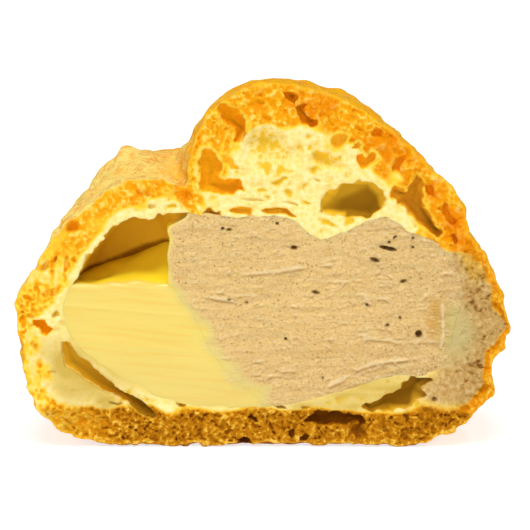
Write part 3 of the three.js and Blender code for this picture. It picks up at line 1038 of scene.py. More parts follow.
    def shares(
        self, tree: bpy.types.NodeTree, mask: dict[str, Any], pattern: dict[str, Any]
    ) -> dict[str, bpy.types.NodeSocket]:
        """Works out how much of each tone shows.

        Args:
            tree: the material's nodes.
            mask: the outputs of the shell's attributes.
            pattern: the outputs of the patterns.

        Returns:
            Each tone's share, from 0 to 1.
        """
        depth = node(tree, "ShaderNodeMath", {0: pattern["sunk"], 1: mask["pit"]})
        away = node(tree, "ShaderNodeMath", {0: pattern["stretched"], 1: 0.5}, operation="SUBTRACT")
        away = node(tree, "ShaderNodeMath", {0: away.outputs[0]}, operation="ABSOLUTE")
        fairer = node(tree, "ShaderNodeMath", {0: mask["fair"], 1: 0.4, 2: pattern["stretched"]},
                      operation="MULTIPLY_ADD")
        return self.soft_steps(tree, {
            # The wall, cell, pit and deep tones follow how far sunk a place is; their darkening is painted
            # shade in the cells and hollows.
            "wall": (depth.outputs[0], 0.48, 0.6, 1.0),
            "cell": (depth.outputs[0], 0.62, 0.82, 1.0),
            "pit": (depth.outputs[0], 0.9, 1.35, 1.0),
            "deep": (mask["pit"], 1.0, 2.0, 1.0),
            "pale": (fairer.outputs[0], 0.5, 0.92, 1.0),
            "ruddy": (pattern["blisters"], 0.5, 0.66, 0.6),
            "crack": (away.outputs[0], 0.03, 0.0, 0.8),
            "rim": (mask["under"], 0.9, 0.3, 0.5),
            "inside": (mask["under"], 0.05, 0.3, 1.0),
            "golden": (mask["toast"], 0.0, 0.45, 1.0),
            "toasted": (mask["toast"], 0.3, 0.95, 1.0),
        })

    def colour(
        self, tree: bpy.types.NodeTree, mask: dict[str, Any], share: dict[str, Any]
    ) -> bpy.types.NodeSocket:
        """Lays the tones over one another, for the crumb of each kind and the crust over it.

        Args:
            tree: the material's nodes.
            mask: the outputs of the shell's attributes.
            share: how much of each tone shows.

        Returns:
            The output that gives the colour.
        """
        tones = {"moist": self.moist, "toasted": self.toasted, "browned": self.browned, "soaked": self.soaked}
        crumb = {}
        for name, tone in tones.items():
            face = layered(tree, linear(tone.speck), (
                (share["wall"], linear(tone.wall)), (share["cell"], linear(tone.cell))))
            if name == "toasted":
                face = layered(tree, face, (
                    (share["ruddy"], linear(self.scorched)), (mask["scorch"], linear(self.scorched)),
                    (share["rim"], linear(self.rim))))
            # Pit and deep tones: painted shade far into the cells and hollows.
            crumb[name] = layered(tree, face, (
                (share["pit"], linear(tone.pit)), (share["deep"], linear(tone.deep))))
        inner = layered(tree, crumb["moist"], (
            (mask["stain"], linear(self.stained)), (share["golden"], linear(self.golden)),
            (share["toasted"], crumb["toasted"]), (mask["browned"], crumb["browned"]),
            (mask["soak"], crumb["soaked"]), (mask["wet"], linear(self.membrane)),
            (mask["damp"], linear(self.damp))))
        crust = layered(tree, linear(self.crust), (
            (share["pale"], linear(self.crust_pale)), (share["ruddy"], linear(self.crust_ruddy)),
            (share["crack"], linear(self.crust_crack)), (mask["foot"], linear(self.underside_and_contact_shadow))))
        return layered(tree, crust, ((share["inside"], inner),))


@dataclass(frozen=True)
class Cream(Finish):
    """Custard and whipped mocha cream, which run softly into each other where they meet.

    The custard is boiled, so it is smooth, wet and a little translucent. The mocha cream is whipped,
    so it is duller and full of fine air pores, with ridges where the knife dragged it.
    """

    name: str
    roughness: float
    gloss: float
    custard: str = "#EBD26A"
    custard_streak: str = "#EBC95E"
    # Deeper yellow on the custard behind the cut: painted shade of the hollow over it.
    custard_recess_shade: str = "#FFE030"
    blend: str = "#E6CF80"
    mocha: str = "#F2CD86"
    # Painted highlight on the mocha cream's raised grain and drawn ridges.
    mocha_highlight: str = "#FFE4AE"
    # Painted shade in the drag furrows.
    mocha_furrow_shade: str = "#EAC27C"
    # Painted shade in its sunk pores and under its ridges.
    mocha_shade: str = "#BE904C"
    # Dots of painted shade for the tiny pits.
    mocha_pit_shade: str = "#B08644"
    soaked: str = "#E8C482"
    soaked_dark: str = "#DAB270"
    spot: str = "#DCA84C"
    damp: str = "#D8C478"
    # Painted shade inside the air holes.
    hole: str = "#80540E"
    smear_mm: float = 1.2  # the custard's long smears
    drag_mm: float = 0.8  # the mocha cream's shorter drag marks
    pore_mm: float = 0.42
    speck_mm: float = 0.8  # between its little pits
    lumps_mm: float = 1.15
    bent_mm: float = 0.9  # how far the pits are bent out of round

    READ = ("mocha", "behind", "soak", "spot", "dragged", "drawn", "below", "pore", "damp")

    def material(self) -> bpy.types.Material:
        """Builds the material.

        Returns:
            A material that reads the cream's own attributes.
        """
        made, mask = self.begin(self.name)
        tree = made.node_tree
        pattern = self.patterns(tree)
        share = self.shares(tree, mask, pattern)

        height = node(tree, "ShaderNodeMath", {0: pattern["pores"], 1: mask["mocha"]}, operation="MULTIPLY")
        bump = node(tree, "ShaderNodeBump", {
            "Height": height.outputs[0], "Strength": 0.8, "Distance": 0.5 * MM}, invert=True)
        dragged = node(tree, "ShaderNodeMath", {0: pattern["drag"], 1: mask["mocha"]}, operation="MULTIPLY")
        smear = node(tree, "ShaderNodeBump", {
            "Height": dragged.outputs[0], "Strength": 0.8, "Distance": 1.2 * MM, "Normal": bump.outputs[0]})
        shader = node(tree, "ShaderNodeBsdfPrincipled", {
            "Base Color": self.colour(tree, mask, share), "Roughness": self.roughness, "IOR": 1.42,
            "Specular IOR Level": self.gloss, "Subsurface Weight": 0.35,
            "Subsurface Radius": (1.0, 0.75, 0.3), "Subsurface Scale": 1.4 * MM,
            "Normal": smear.outputs["Normal"]})
        node(tree, "ShaderNodeOutputMaterial", {"Surface": shader.outputs[0]})
        return made

    def patterns(self, tree: bpy.types.NodeTree) -> dict[str, bpy.types.NodeSocket]:
        """Adds the patterns of both creams.

        Args:
            tree: the material's nodes.

        Returns:
            Each pattern's output.
        """
        place = node(tree, "ShaderNodeTexCoord", {}).outputs["Object"]
        smeared = node(tree, "ShaderNodeMapping", {
            "Vector": place, "Scale": (14.0, 3.0, 1.0), "Rotation": (0.0, math.radians(5), 0.0)},
            vector_type="TEXTURE")
        smears = node(tree, "ShaderNodeTexNoise", {
            "Vector": smeared.outputs[0], "Scale": scale_for(self.smear_mm), "Detail": 3.0,
            "Roughness": 0.55})
        drawn = node(tree, "ShaderNodeMapping", {
            "Vector": place, "Scale": (3.2, 2.0, 1.0), "Rotation": (0.0, math.radians(-5), 0.0)},
            vector_type="TEXTURE")
        drag = node(tree, "ShaderNodeTexNoise", {
            "Vector": drawn.outputs[0], "Scale": scale_for(self.drag_mm), "Detail": 4.0, "Roughness": 0.6,
            "Distortion": 0.8})
        pores = node(tree, "ShaderNodeTexNoise", {
            "Vector": place, "Scale": scale_for(self.pore_mm), "Detail": 3.0, "Roughness": 0.7})
        lumps = node(tree, "ShaderNodeTexNoise", {
            "Vector": place, "Scale": scale_for(self.lumps_mm), "Detail": 5.0, "Roughness": 0.65,
            "Distortion": 1.0})
        bent = node(tree, "ShaderNodeVectorMath", {
            0: lumps.outputs["Color"], 1: (self.bent_mm * MM,) * 3, 2: place}, operation="MULTIPLY_ADD")
        specks = node(tree, "ShaderNodeTexVoronoi", {
            "Vector": bent.outputs[0], "Scale": scale_for(self.speck_mm)})
        found = {"smears": smears, "drag": drag, "pores": pores, "lumps": lumps}
        output = {name: made.outputs["Fac"] for name, made in found.items()}
        output["specks"] = specks.outputs["Distance"]
        return output

    def shares(
        self, tree: bpy.types.NodeTree, mask: dict[str, Any], pattern: dict[str, Any]
    ) -> dict[str, bpy.types.NodeSocket]:
        """Works out how much of each colour shows.

        Args:
            tree: the material's nodes.
            mask: the outputs of the cream's attributes.
            pattern: the outputs of the patterns.

        Returns:
            Each colour's share, from 0 to 1.
        """
        sparse = node(tree, "ShaderNodeMath", {0: mask["dragged"], 1: -0.13, 2: 0.3},
                      operation="MULTIPLY_ADD")
        inmost = node(tree, "ShaderNodeMath", {0: sparse.outputs[0], 1: pattern["specks"]},
                      operation="SUBTRACT")
        return self.soft_steps(tree, {
            "streak": (pattern["smears"], 0.45, 0.7, 1.0),
            # Painted highlight on the drawn lines, and painted shadow just under them.
            "ridge": (mask["drawn"], 0.0, 0.9, 0.7),
            "ridge_shadow": (mask["below"], 0.05, 0.9, 0.75),
            # Dark dots of painted shade, for pits too small to model.
            "speck": (inmost.outputs[0], 0.0, 0.12, 0.7),
            "lump": (pattern["lumps"], 0.45, 0.62, 1.0),
            # Painted shade in the low furrows of the drag bump.
            "furrow_shade": (pattern["drag"], 0.44, 0.36, 1.0),
            # Painted highlight on the raised pores and painted shade in the sunk ones, following the pores'
            # bump.
            "raised_highlight": (pattern["pores"], 0.5, 0.34, 0.5),
            "painted_shade": (pattern["pores"], 0.55, 0.78, 1.0),
            "meeting": (mask["mocha"], 0.0, 0.5, 1.0),
            "beyond": (mask["mocha"], 0.4, 1.0, 1.0),
        })

    def colour(
        self, tree: bpy.types.NodeTree, mask: dict[str, Any], share: dict[str, Any]
    ) -> bpy.types.NodeSocket:
        """Lays the colours over one another, from the custard through the blend to the mocha cream.

        Args:
            tree: the material's nodes.
            mask: the outputs of the cream's attributes.
            share: how much of each colour shows.

        Returns:
            The output that gives the colour.
        """
        custard = layered(tree, linear(self.custard), (
            (share["streak"], linear(self.custard_streak)), (mask["behind"], linear(self.custard_recess_shade))))
        soaked = layered(tree, linear(self.soaked), ((share["lump"], linear(self.soaked_dark)),))
        mocha = layered(tree, linear(self.mocha), (
            (mask["soak"], soaked), (share["raised_highlight"], linear(self.mocha_highlight)),
            (share["furrow_shade"], linear(self.mocha_furrow_shade)), (share["painted_shade"], linear(self.mocha_shade)),
            (share["speck"], linear(self.mocha_pit_shade))))
        return layered(tree, custard, (
            (share["meeting"], linear(self.blend)), (share["beyond"], mocha),
            (mask["spot"], linear(self.spot)), (mask["damp"], linear(self.damp)),
            (share["ridge_shadow"], linear(self.mocha_shade)), (share["ridge"], linear(self.mocha_highlight)),
            (mask["pore"], linear(self.hole))))


# ---- Pieces ---------------------------------------------------------------------------------------


@dataclass
class Skinned:
    """A skinned piece, ready to become an object."""

    name: str
    points: np.ndarray
    quads: np.ndarray

    def object(self, shift: np.ndarray, material: bpy.types.Material) -> bpy.types.Object:
        """Makes the Blender object in the frame's metres.

        Args:
            shift: where the puff's own origin is in the frame, in millimetres.
            material: the piece's finish.

        Returns:
            The object, linked to the scene.
        """
        mesh = bpy.data.meshes.new(self.name)
        mesh.vertices.add(len(self.points))
        mesh.vertices.foreach_set("co", ((self.points + shift) * MM).ravel())
        mesh.loops.add(self.quads.size)
        mesh.loops.foreach_set("vertex_index", self.quads.ravel())
        mesh.polygons.add(len(self.quads))
        mesh.polygons.foreach_set("loop_start", np.arange(0, self.quads.size, 4))
        mesh.update(calc_edges=True)
        mesh.shade_smooth()
        mesh.materials.append(material)
        made = bpy.data.objects.new(self.name, mesh)
        bpy.context.collection.objects.link(made)
        return made


def puff_places(piece: bpy.types.Object, shift: np.ndarray) -> np.ndarray:
    """A piece's points in the puff's own millimetres, one row each."""
    places = np.empty(len(piece.data.vertices) * 3)
    piece.data.vertices.foreach_get("co", places)
    return places.reshape(-1, 3) / MM - shift


def triangles(mesh: bpy.types.Mesh) -> int:
    """How many triangles a mesh's faces come to."""
    return sum(len(face.vertices) - 2 for face in mesh.polygons)


def thin_out(
    piece: bpy.types.Object, shift: np.ndarray, from_depth: float, target: int, hidden: np.ndarray
) -> None:
    """Merges the small faces behind the cut, where nothing fine shows.

    Args:
        piece: the object.
        shift: where the puff's own origin is in the frame, in millimetres.
        from_depth: how far behind the cut the merging starts, in millimetres.
        target: about how many triangles to leave.
        hidden: which of the piece's points the other pieces hide, where the merging is strongest.
    """
    deep = puff_places(piece, shift)[:, 1] - from_depth
    group = piece.vertex_groups.new(name="thinned")
    group.add(np.flatnonzero(deep > 0).tolist(), 0.3, "REPLACE")
    group.add(np.flatnonzero((deep > 0) & hidden).tolist(), 1.0, "REPLACE")
    before = triangles(piece.data)
    modifier = piece.modifiers.new("thin", "DECIMATE")
    modifier.ratio = min(1.0, target / before)
    modifier.vertex_group = group.name
    modifier.vertex_group_factor = 1.0
    graph = bpy.context.evaluated_depsgraph_get()
    thinned = bpy.data.meshes.new_from_object(piece.evaluated_get(graph))
    piece.modifiers.clear()
    piece.vertex_groups.clear()
    piece.data = thinned
    thinned.name = piece.name
    log.info("%s: thinned from %d to %d triangles", piece.name, before, triangles(thinned))


def paint(piece: bpy.types.Object, shift: np.ndarray, grid: Grid, fields: dict[str, np.ndarray]) -> None:
    """Writes fields onto a piece's points as attributes.

    Args:
        piece: the object.
        shift: where the puff's own origin is in the frame, in millimetres.
        grid: where the fields are.
        fields: each attribute's name and field.
    """
    points = puff_places(piece, shift)
    for name, field in fields.items():
        layer = piece.data.attributes.new(name, "FLOAT", "POINT")
        layer.data.foreach_set("value", grid.read(field, points).astype(np.float32))


@dataclass
class Puff:
    """What every piece shares: where the cut is and how the cut face waves."""

    shift: np.ndarray
    wave: float = 0.1  # how far the cut face waves, in millimetres

    @classmethod
    def in_frame(cls, low: Vector, high: Vector) -> "Puff":
        """Finds the puff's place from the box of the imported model.

        Args:
            low: the box's lowest corner, in metres.
            high: its highest corner.

        Returns:
            The shared facts.
        """
        degrees = np.linspace(0, 360, 721)[:-1]
        reach = outline(CRUST.cut_outline, degrees) * np.cos(np.radians(degrees))
        middle = (low.x + high.x) / 2 / MM - (reach.min() + reach.max()) / 2
        return cls(shift=np.array([middle, low.y / MM, low.z / MM]))

    def cut_depth(self, grid: Grid) -> np.ndarray:
        """How far behind the cut's plane its waving face is, at each place in the cut."""
        return (Unevenness(11, (7, STEADY, 3)).over(grid.cut) + 1) * self.wave


@dataclass
class ChouxShell:
    """The baked shell: lobed crust outside, crumb with its cells in the cut, and the space for the creams."""

    puff: Puff
    step: float = 0.28
    far_step: float = 0.9
    target: int = 196_000  # triangles
    void_depth: float = 13.0  # how deep the space over the custard is
    void_narrows: float = 9.0  # how much less deep it is by the mocha cream
    lump: float = 0.4  # how high the crust's lumps are
    wrinkle: float = 0.35  # how deep its wrinkles are
    toast_depth: Knots = (
        (5, 1.7), (13, 2.1), (19, 6), (30, 8.5), (44, 6.2), (60, 6), (75, 6.5), (90, 7.6), (99, 9),
        (106, 7.5), (112, 6), (120, 4.4), (135, 5), (160, 6), (175, 7.5), (184, 5.5), (192, 2.8),
        (200, 2.4), (212, 2.8), (235, 3), (270, 3), (318, 3.8), (333, 2.8), (339, 2.4), (344, 2.1),
        (350, 1.7),
    )
    knobs: tuple[tuple[tuple[float, float, float], float, float], ...] = (  # middle, half width and height
        ((-24.6, 13.0, 51.2), 1.6, 1.6),
        ((-27.5, 12.0, 48.6), 2.2, 0.7),
        ((41.2, 0.5, 33.6), 1.0, 0.8),
        ((42.8, 0.5, 21.5), 1.4, 0.5),
        ((-43.2, 0.5, 25.6), 1.0, 0.7),
    )
    base_height: float = 0.03  # how far the base's lowest spots are above the table
    strand: Knots = ((21.2, 46.4), (21.7, 44.9), (23.1, 41.9))  # of crumb, across the shoulder's hollow
    strand_depth: float = 0.9
    strand_radius: float = 0.32
    thin_from: float = 1.4  # how far behind the cut its faces start to be merged
    degrees_per_mm: float = 4.0  # what a millimetre of the streaks' relief takes in round the core

    def build(self) -> bpy.types.Object:
        """Builds and dresses the shell.

        Returns:
            The finished piece.
        """
        grid = Grid.over((-44.5, -1.0, -0.8), (44.5, 44.5, 67.0), self.step, self.far_step)
        x, y, z = grid.axes
        cut = grid.cut
        lumps = Unevenness(21, (8, 8, 6)).over(grid)
        grain = Unevenness(23, (1.3, 1.3, 1.1)).over(grid)
        fine = Unevenness(24, (0.7, STEADY, 0.6)).over(cut)
        torn = Unevenness(25, (1.6, STEADY, 1.3)).over(cut)
        outside = self.outside(grid, lumps, grain, fine, torn)
        cavity = self.cavity(grid, lumps)
        under = -outside
        log.info("shell grid %s", outside.shape)

        looks = self.crumb(cut, grid.at_cut(under), grid.at_cut(cavity))
        over_custard = smooth(x, -14, -18) * smooth(z, 29, 32)
        edge = (0.06 + 0.16 * over_custard) * (fine + torn) * smooth(y, 3.0, 0.5) + 0.1 * grain
        shell = soft_max(outside, -(cavity + edge), 0.15)
        shell = soft_max(shell, self.puff.cut_depth(grid) + looks["relief"] - y, 0.3)
        for hollow in HOLLOWS:
            hollow.carve(shell, looks, grid, fine)
        strand = np.hypot(line_distance(self.strand, x, z), y - self.strand_depth) - self.strand_radius
        shell = -soft_max(-shell, -strand, 0.3)
        points, quads = main_lump(*skin(shell, grid))
        piece = Skinned("baked_choux_shell", points, quads).object(self.puff.shift, BakedChoux().material())
        hidden = (grid.read(under, points) > 1.5) & (grid.read(self.in_the_open(grid), points) < 0.5)
        thin_out(piece, self.puff.shift, self.thin_from, self.target, hidden)
        paint(piece, self.puff.shift, grid, self.masks(grid, under, looks, lumps, fine))
        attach(piece, BODY)
        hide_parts("choux_shell")
        return piece

    def outside(
        self, grid: Grid, lumps: np.ndarray, grain: np.ndarray, fine: np.ndarray, torn: np.ndarray
    ) -> np.ndarray:
        """Works out the crust, with its lumps, wrinkles and knobs, and its flat uneven base.

        Args:
            grid: the places.
            lumps: broad relief.
            grain: small relief.
            fine: small relief in the cut.
            torn: larger relief in the cut.

        Returns:
            Distances in millimetres, below zero under the crust.
        """
        x, y, z = grid.axes
        crust = CRUST.distance(grid)
        wrinkles = np.abs(Unevenness(22, (5, 3.5, 2.2)).over(grid))
        crust += self.lump * lumps * smooth(y, -1, 8) - 0.17 * grain
        crust -= self.wrinkle * (0.8 - wrinkles) * smooth(y, -0.5, 4) * smooth(z, 2, 8)
        for middle, half_width, height in self.knobs:
            away = sum((axis - at) ** 2 for axis, at in zip((x, y, z), middle))
            crust -= height * np.exp(-away / half_width**2)
        crust += 0.1 * fine * smooth(y, 2, 0.5)
        lifted = (0.35 + 0.22 * torn + 0.18 * fine) * smooth(y, 3.0, 0.0)
        base = np.maximum(lifted + 0.12 * grain * smooth(y, 0, 3), self.base_height)
        return soft_max(crust, base - z, 0.8)

    def cavity(self, grid: Grid, lumps: np.ndarray) -> np.ndarray:
        """Works out the space for the creams, and the empty space over the custard.

        Args:
            grid: the places.
            lumps: relief, which the empty space's back follows.

        Returns:
            Distances in millimetres, below zero in the space.
        """
        x, y, z = grid.axes
        back = self.void_depth - self.void_narrows * smooth(x + 0.5 * (z - 39), -19.5, -14.5) + 0.8 * lumps
        filled = np.maximum(np.maximum(back - y, Filling.top_height(x, y) - 1 - z), x + 11)
        return soft_max(CAVITY.distance(grid), -filled, 2.5)

    def masks(
        self, grid: Grid, under: np.ndarray, looks: dict[str, np.ndarray], lumps: np.ndarray, fine: np.ndarray
    ) -> dict[str, np.ndarray]:
        """Works out the attributes that the finish reads.

        Args:
            grid: the places.
            under: depth under the crust, in millimetres.
            looks: the crumb's looks in the cut.
            lumps: broad relief.
            fine: small relief in the cut.

        Returns:
            Each attribute's field.
        """
        x, y, z = grid.axes
        # The pit share: the crumb behind the cut and the hollows' linings take darker tones, painted shade,
        # with more of it in the slot over the mocha cream and along the custard's crease.
        pit = np.maximum(looks["pit"] * smooth(y, 3.0, 1.5), smooth(y, 0.3, 2.4))
        pit = pit + looks["painted_shade"] * smooth(y, 0.3, 1.6)
        slot_shadow = SLOT_SHADOW.share(grid.cut, 0.15 * fine)
        # Painted shade along the crease where the custard's top meets the shell.
        above = z - Filling.top_height(x, y)
        meeting = smooth(above, 1.6, 0.4) * smooth(x, -15.5, -17) * smooth(z, 29.0, 29.6)
        pit = pit + 2 * slot_shadow * smooth(y, 0.3, 1.2) + meeting * smooth(y, 0.8, 2.2)
        # The foot is the browned underside behind the cut, and a painted contact shadow along the lowest
        # millimetre.
        foot = np.maximum(smooth(z + 0.5 * lumps, 3.0, 0.5) * smooth(y, 1, 3), smooth(z, 1.1, 0.4))
        return {
            "under": under, "pit": pit, "foot": foot,
            "fair": smooth(x + lumps, -6, -21) * smooth(z, 16, 38) * (1 - 0.6 * smooth(y, 8, 26)),
            "wet": np.clip(looks["wet"], 0, 1) * smooth(y, 1.2, 0.4),
            **{name: looks[name] for name in ("toast", "soak", "browned", "open", "scorch", "stain", "damp")},
        }

    def in_the_open(self, grid: Grid) -> np.ndarray:
        """Where the shell's inside is in sight over the custard, as 1, and 0 elsewhere."""
        x, y, z = grid.axes
        return smooth(x, -10, -12) * smooth(z - Filling.top_height(x, y), -1.5, -1)

    def crumb(self, cut: Grid, under: np.ndarray, cavity: np.ndarray) -> dict[str, np.ndarray]:
        """Works out the crumb's cells and kinds in the cut.

        Args:
            cut: the places in the cut.
            under: depth under the crust, in millimetres.
            cavity: distance from the space for the creams, in millimetres.

        Returns:
            The relief in millimetres, and the shares from 0 to 1 that the finish and the hollows use.
        """
        x, _, z = cut.axes
        degrees = np.degrees(np.arctan2(z - CORE_HEIGHT, x)) % 360
        patchy = Unevenness(26, (2.5, STEADY, 2)).over(cut)
        streaks = self.along_rim(degrees, under)
        toast, browned, soak = self.baking(cut, under, cavity, degrees, patchy, streaks)
        scorch = 0.6 * (smooth(degrees, 86, 70) + smooth(degrees, 306, 316)) * smooth(patchy, -1.4, 0.6)
        crown = toast * smooth(degrees, 4, 14) * smooth(degrees, 124, 116)
        left_wall = smooth(degrees, 160, 172) * smooth(degrees, 222, 210)
        toast *= 1 - 0.25 * left_wall * smooth(streaks, -0.8, 0.6)
        wall_side = toast * np.maximum(left_wall, smooth(degrees, 310, 320))
        lobe = toast * smooth(degrees, 114, 122) * smooth(degrees, 172, 160)
        moist = (1 - toast) * (1 - browned) * (1 - soak)

        coarse = Froth(31, (2.1, 1.6), rarity=3.0, wall=(0.05, 0.7)).over(cut)
        small = Froth(32, (1.0, 0.75), wall=(0.05, 0.6)).over(cut)
        pores = Froth(33, (0.9, 0.7), wall=(0.05, 0.5), rarity=1.4).over(cut)
        web = Froth(35, (1.3, 1.7), wall=(0.05, 0.45), rarity=1.2).over(cut)
        soft = Froth(34, (2.8, 2.0), wall=(0.1, 0.8), crooked=0.5, rarity=1.8).over(cut)
        kinds = (  # where, froth, and its deepest cells in millimetres
            (crown, coarse, 0.6),
            (crown, small, 0.4),
            (wall_side, coarse, 0.7),
            (wall_side, web, 0.6),
            (lobe, coarse, 0.35),
            (lobe, small, 0.2),
            (browned, pores, 0.75),
            (browned, small, 0.4),
            (soak, small, 0.3),
            (soak * smooth(z, 28, 33), small, 0.3),
            (moist, soft, 0.6),
        )
        fade = smooth(under, 0.25, 0.9) * smooth(cavity, 0.5, 1.4)
        relief = fade * sum(share * froth * deep for share, froth, deep in kinds)
        deepest = 0.5 + 0.4 * crown + 0.5 * wall_side + 0.1 * lobe + 0.4 * browned
        toast -= 0.75 * wall_side * smooth(web, 0.3, 0.05) * smooth(x, 5, -5)

        fibres = Unevenness(29, (3.5, STEADY, 0.5)).over(cut)
        wet = (0.7 + 0.3 * patchy) * WET_LEFT.share(cut, 0.12 * patchy) * moist
        wet = np.maximum(wet, (0.7 + 0.15 * fibres) * WET_AND_SHADED_RIGHT.share(cut, 0.1 * patchy) * moist)
        stain = 0.8 * smooth(cavity, 1.1, 0.0) * smooth(x, 2, -4) * smooth(z, 30, 29) * moist
        baked = np.clip(np.maximum(toast, browned) + 0.5 * soak, 0, 1)
        return {
            "relief": relief * (1 - 0.8 * wet), "pit": np.clip(relief / deepest, 0, 1), "toast": toast,
            "browned": browned, "soak": soak, "wet": wet, "scorch": scorch, "painted_shade": np.zeros_like(toast),
            "stain": stain, "damp": DAMP.share(cut, 0.06 * patchy), "open": baked * (1 - np.clip(wet, 0, 1)),
        }

    def baking(
        self, cut: Grid, under: np.ndarray, cavity: np.ndarray, degrees: np.ndarray, patchy: np.ndarray,
        streaks: np.ndarray,
    ) -> tuple[np.ndarray, np.ndarray, np.ndarray]:
        """Works out what baking and the creams made of the crumb.

        Args:
            cut: the places in the cut.
            under: depth under the crust, in millimetres.
            cavity: distance from the space for the creams, in millimetres.
            degrees: each place's direction from the core.
            patchy: relief that makes the edges uneven.
            streaks: relief that runs along the crust.

        Returns:
            How far the crumb is toasted, browned and soaked, from 0 to 1.
        """
        x, _, z = cut.axes
        # Toasted from the crust inwards, and up from the base.
        broad = Unevenness(27, (6, STEADY, 5)).over(cut)
        depth = outline(self.toast_depth, degrees)
        toast = smooth(under - depth + 0.8 * patchy + 0.4 * broad + 0.6 * streaks, 1.0, -1.0)
        toast = np.maximum(toast, smooth(z + 0.4 * patchy, 7.6, 6.4))
        toast *= 1 - smooth(cavity, 1.9, 0.4) * smooth(x, -13, -17) * smooth(z, 29, 31)
        lobe_side = smooth(degrees, 140, 158) * smooth(degrees, 184, 172)
        toast *= 1 - 0.4 * lobe_side * smooth(streaks + 0.5 * patchy, -0.6, 0.8)
        browned = smooth(z + 0.4 * patchy, 7.6, 6.2) * (1 - 0.4 * smooth(x, -22, -32))
        browned = np.maximum(browned, 0.4 * smooth(x, 32, 36) * smooth(z, 38, 34))

        # Soaked by the mocha cream, on the right.
        right = smooth(x + patchy + 2.5 * smooth(z, 14, 11), 28, 32)
        right = right * smooth(z + 0.4 * patchy, 6.2, 9) * smooth(z, 40, 36.5)
        dry = 0.5 * smooth(z + patchy, 28, 33) * smooth(cavity, 0.8, 2.5)
        soak = right * smooth(under + 0.4 * patchy - depth, -0.4, 0.3) * (1 - dry)
        toast += (1 - soak - toast) * right
        return toast, browned, soak

    def along_rim(self, degrees: np.ndarray, under: np.ndarray) -> np.ndarray:
        """Streaks that run along the crust, as the crumb was stretched there.

        Args:
            degrees: each place's direction from the core.
            under: its depth under the crust, in millimetres.

        Returns:
            Relief with a typical size of 1.
        """
        round_it = np.arange(-50.0, 52.0, 0.25, dtype=np.float32)
        inwards = np.arange(-5.0, 45.0, 0.2, dtype=np.float32)
        span = Grid(round_it, np.zeros(1, dtype=np.float32), inwards)
        streaks = Unevenness(28, (2.5, STEADY, 0.8)).over(span)
        turned = (degrees.ravel() - 180) / self.degrees_per_mm
        places = np.stack([turned, np.zeros(degrees.size), under.ravel()], axis=1)
        return span.read(streaks, places).reshape(degrees.shape)


class Side(Enum):
    """Which of the two creams."""

    CUSTARD = -1
    MOCHA = 1


@dataclass(frozen=True)
class Ridge:
    """A ridge of cream that the knife dragged up."""

    line: Knots  # (x, z) in the cut
    height: float
    half_width: float
    side: Side


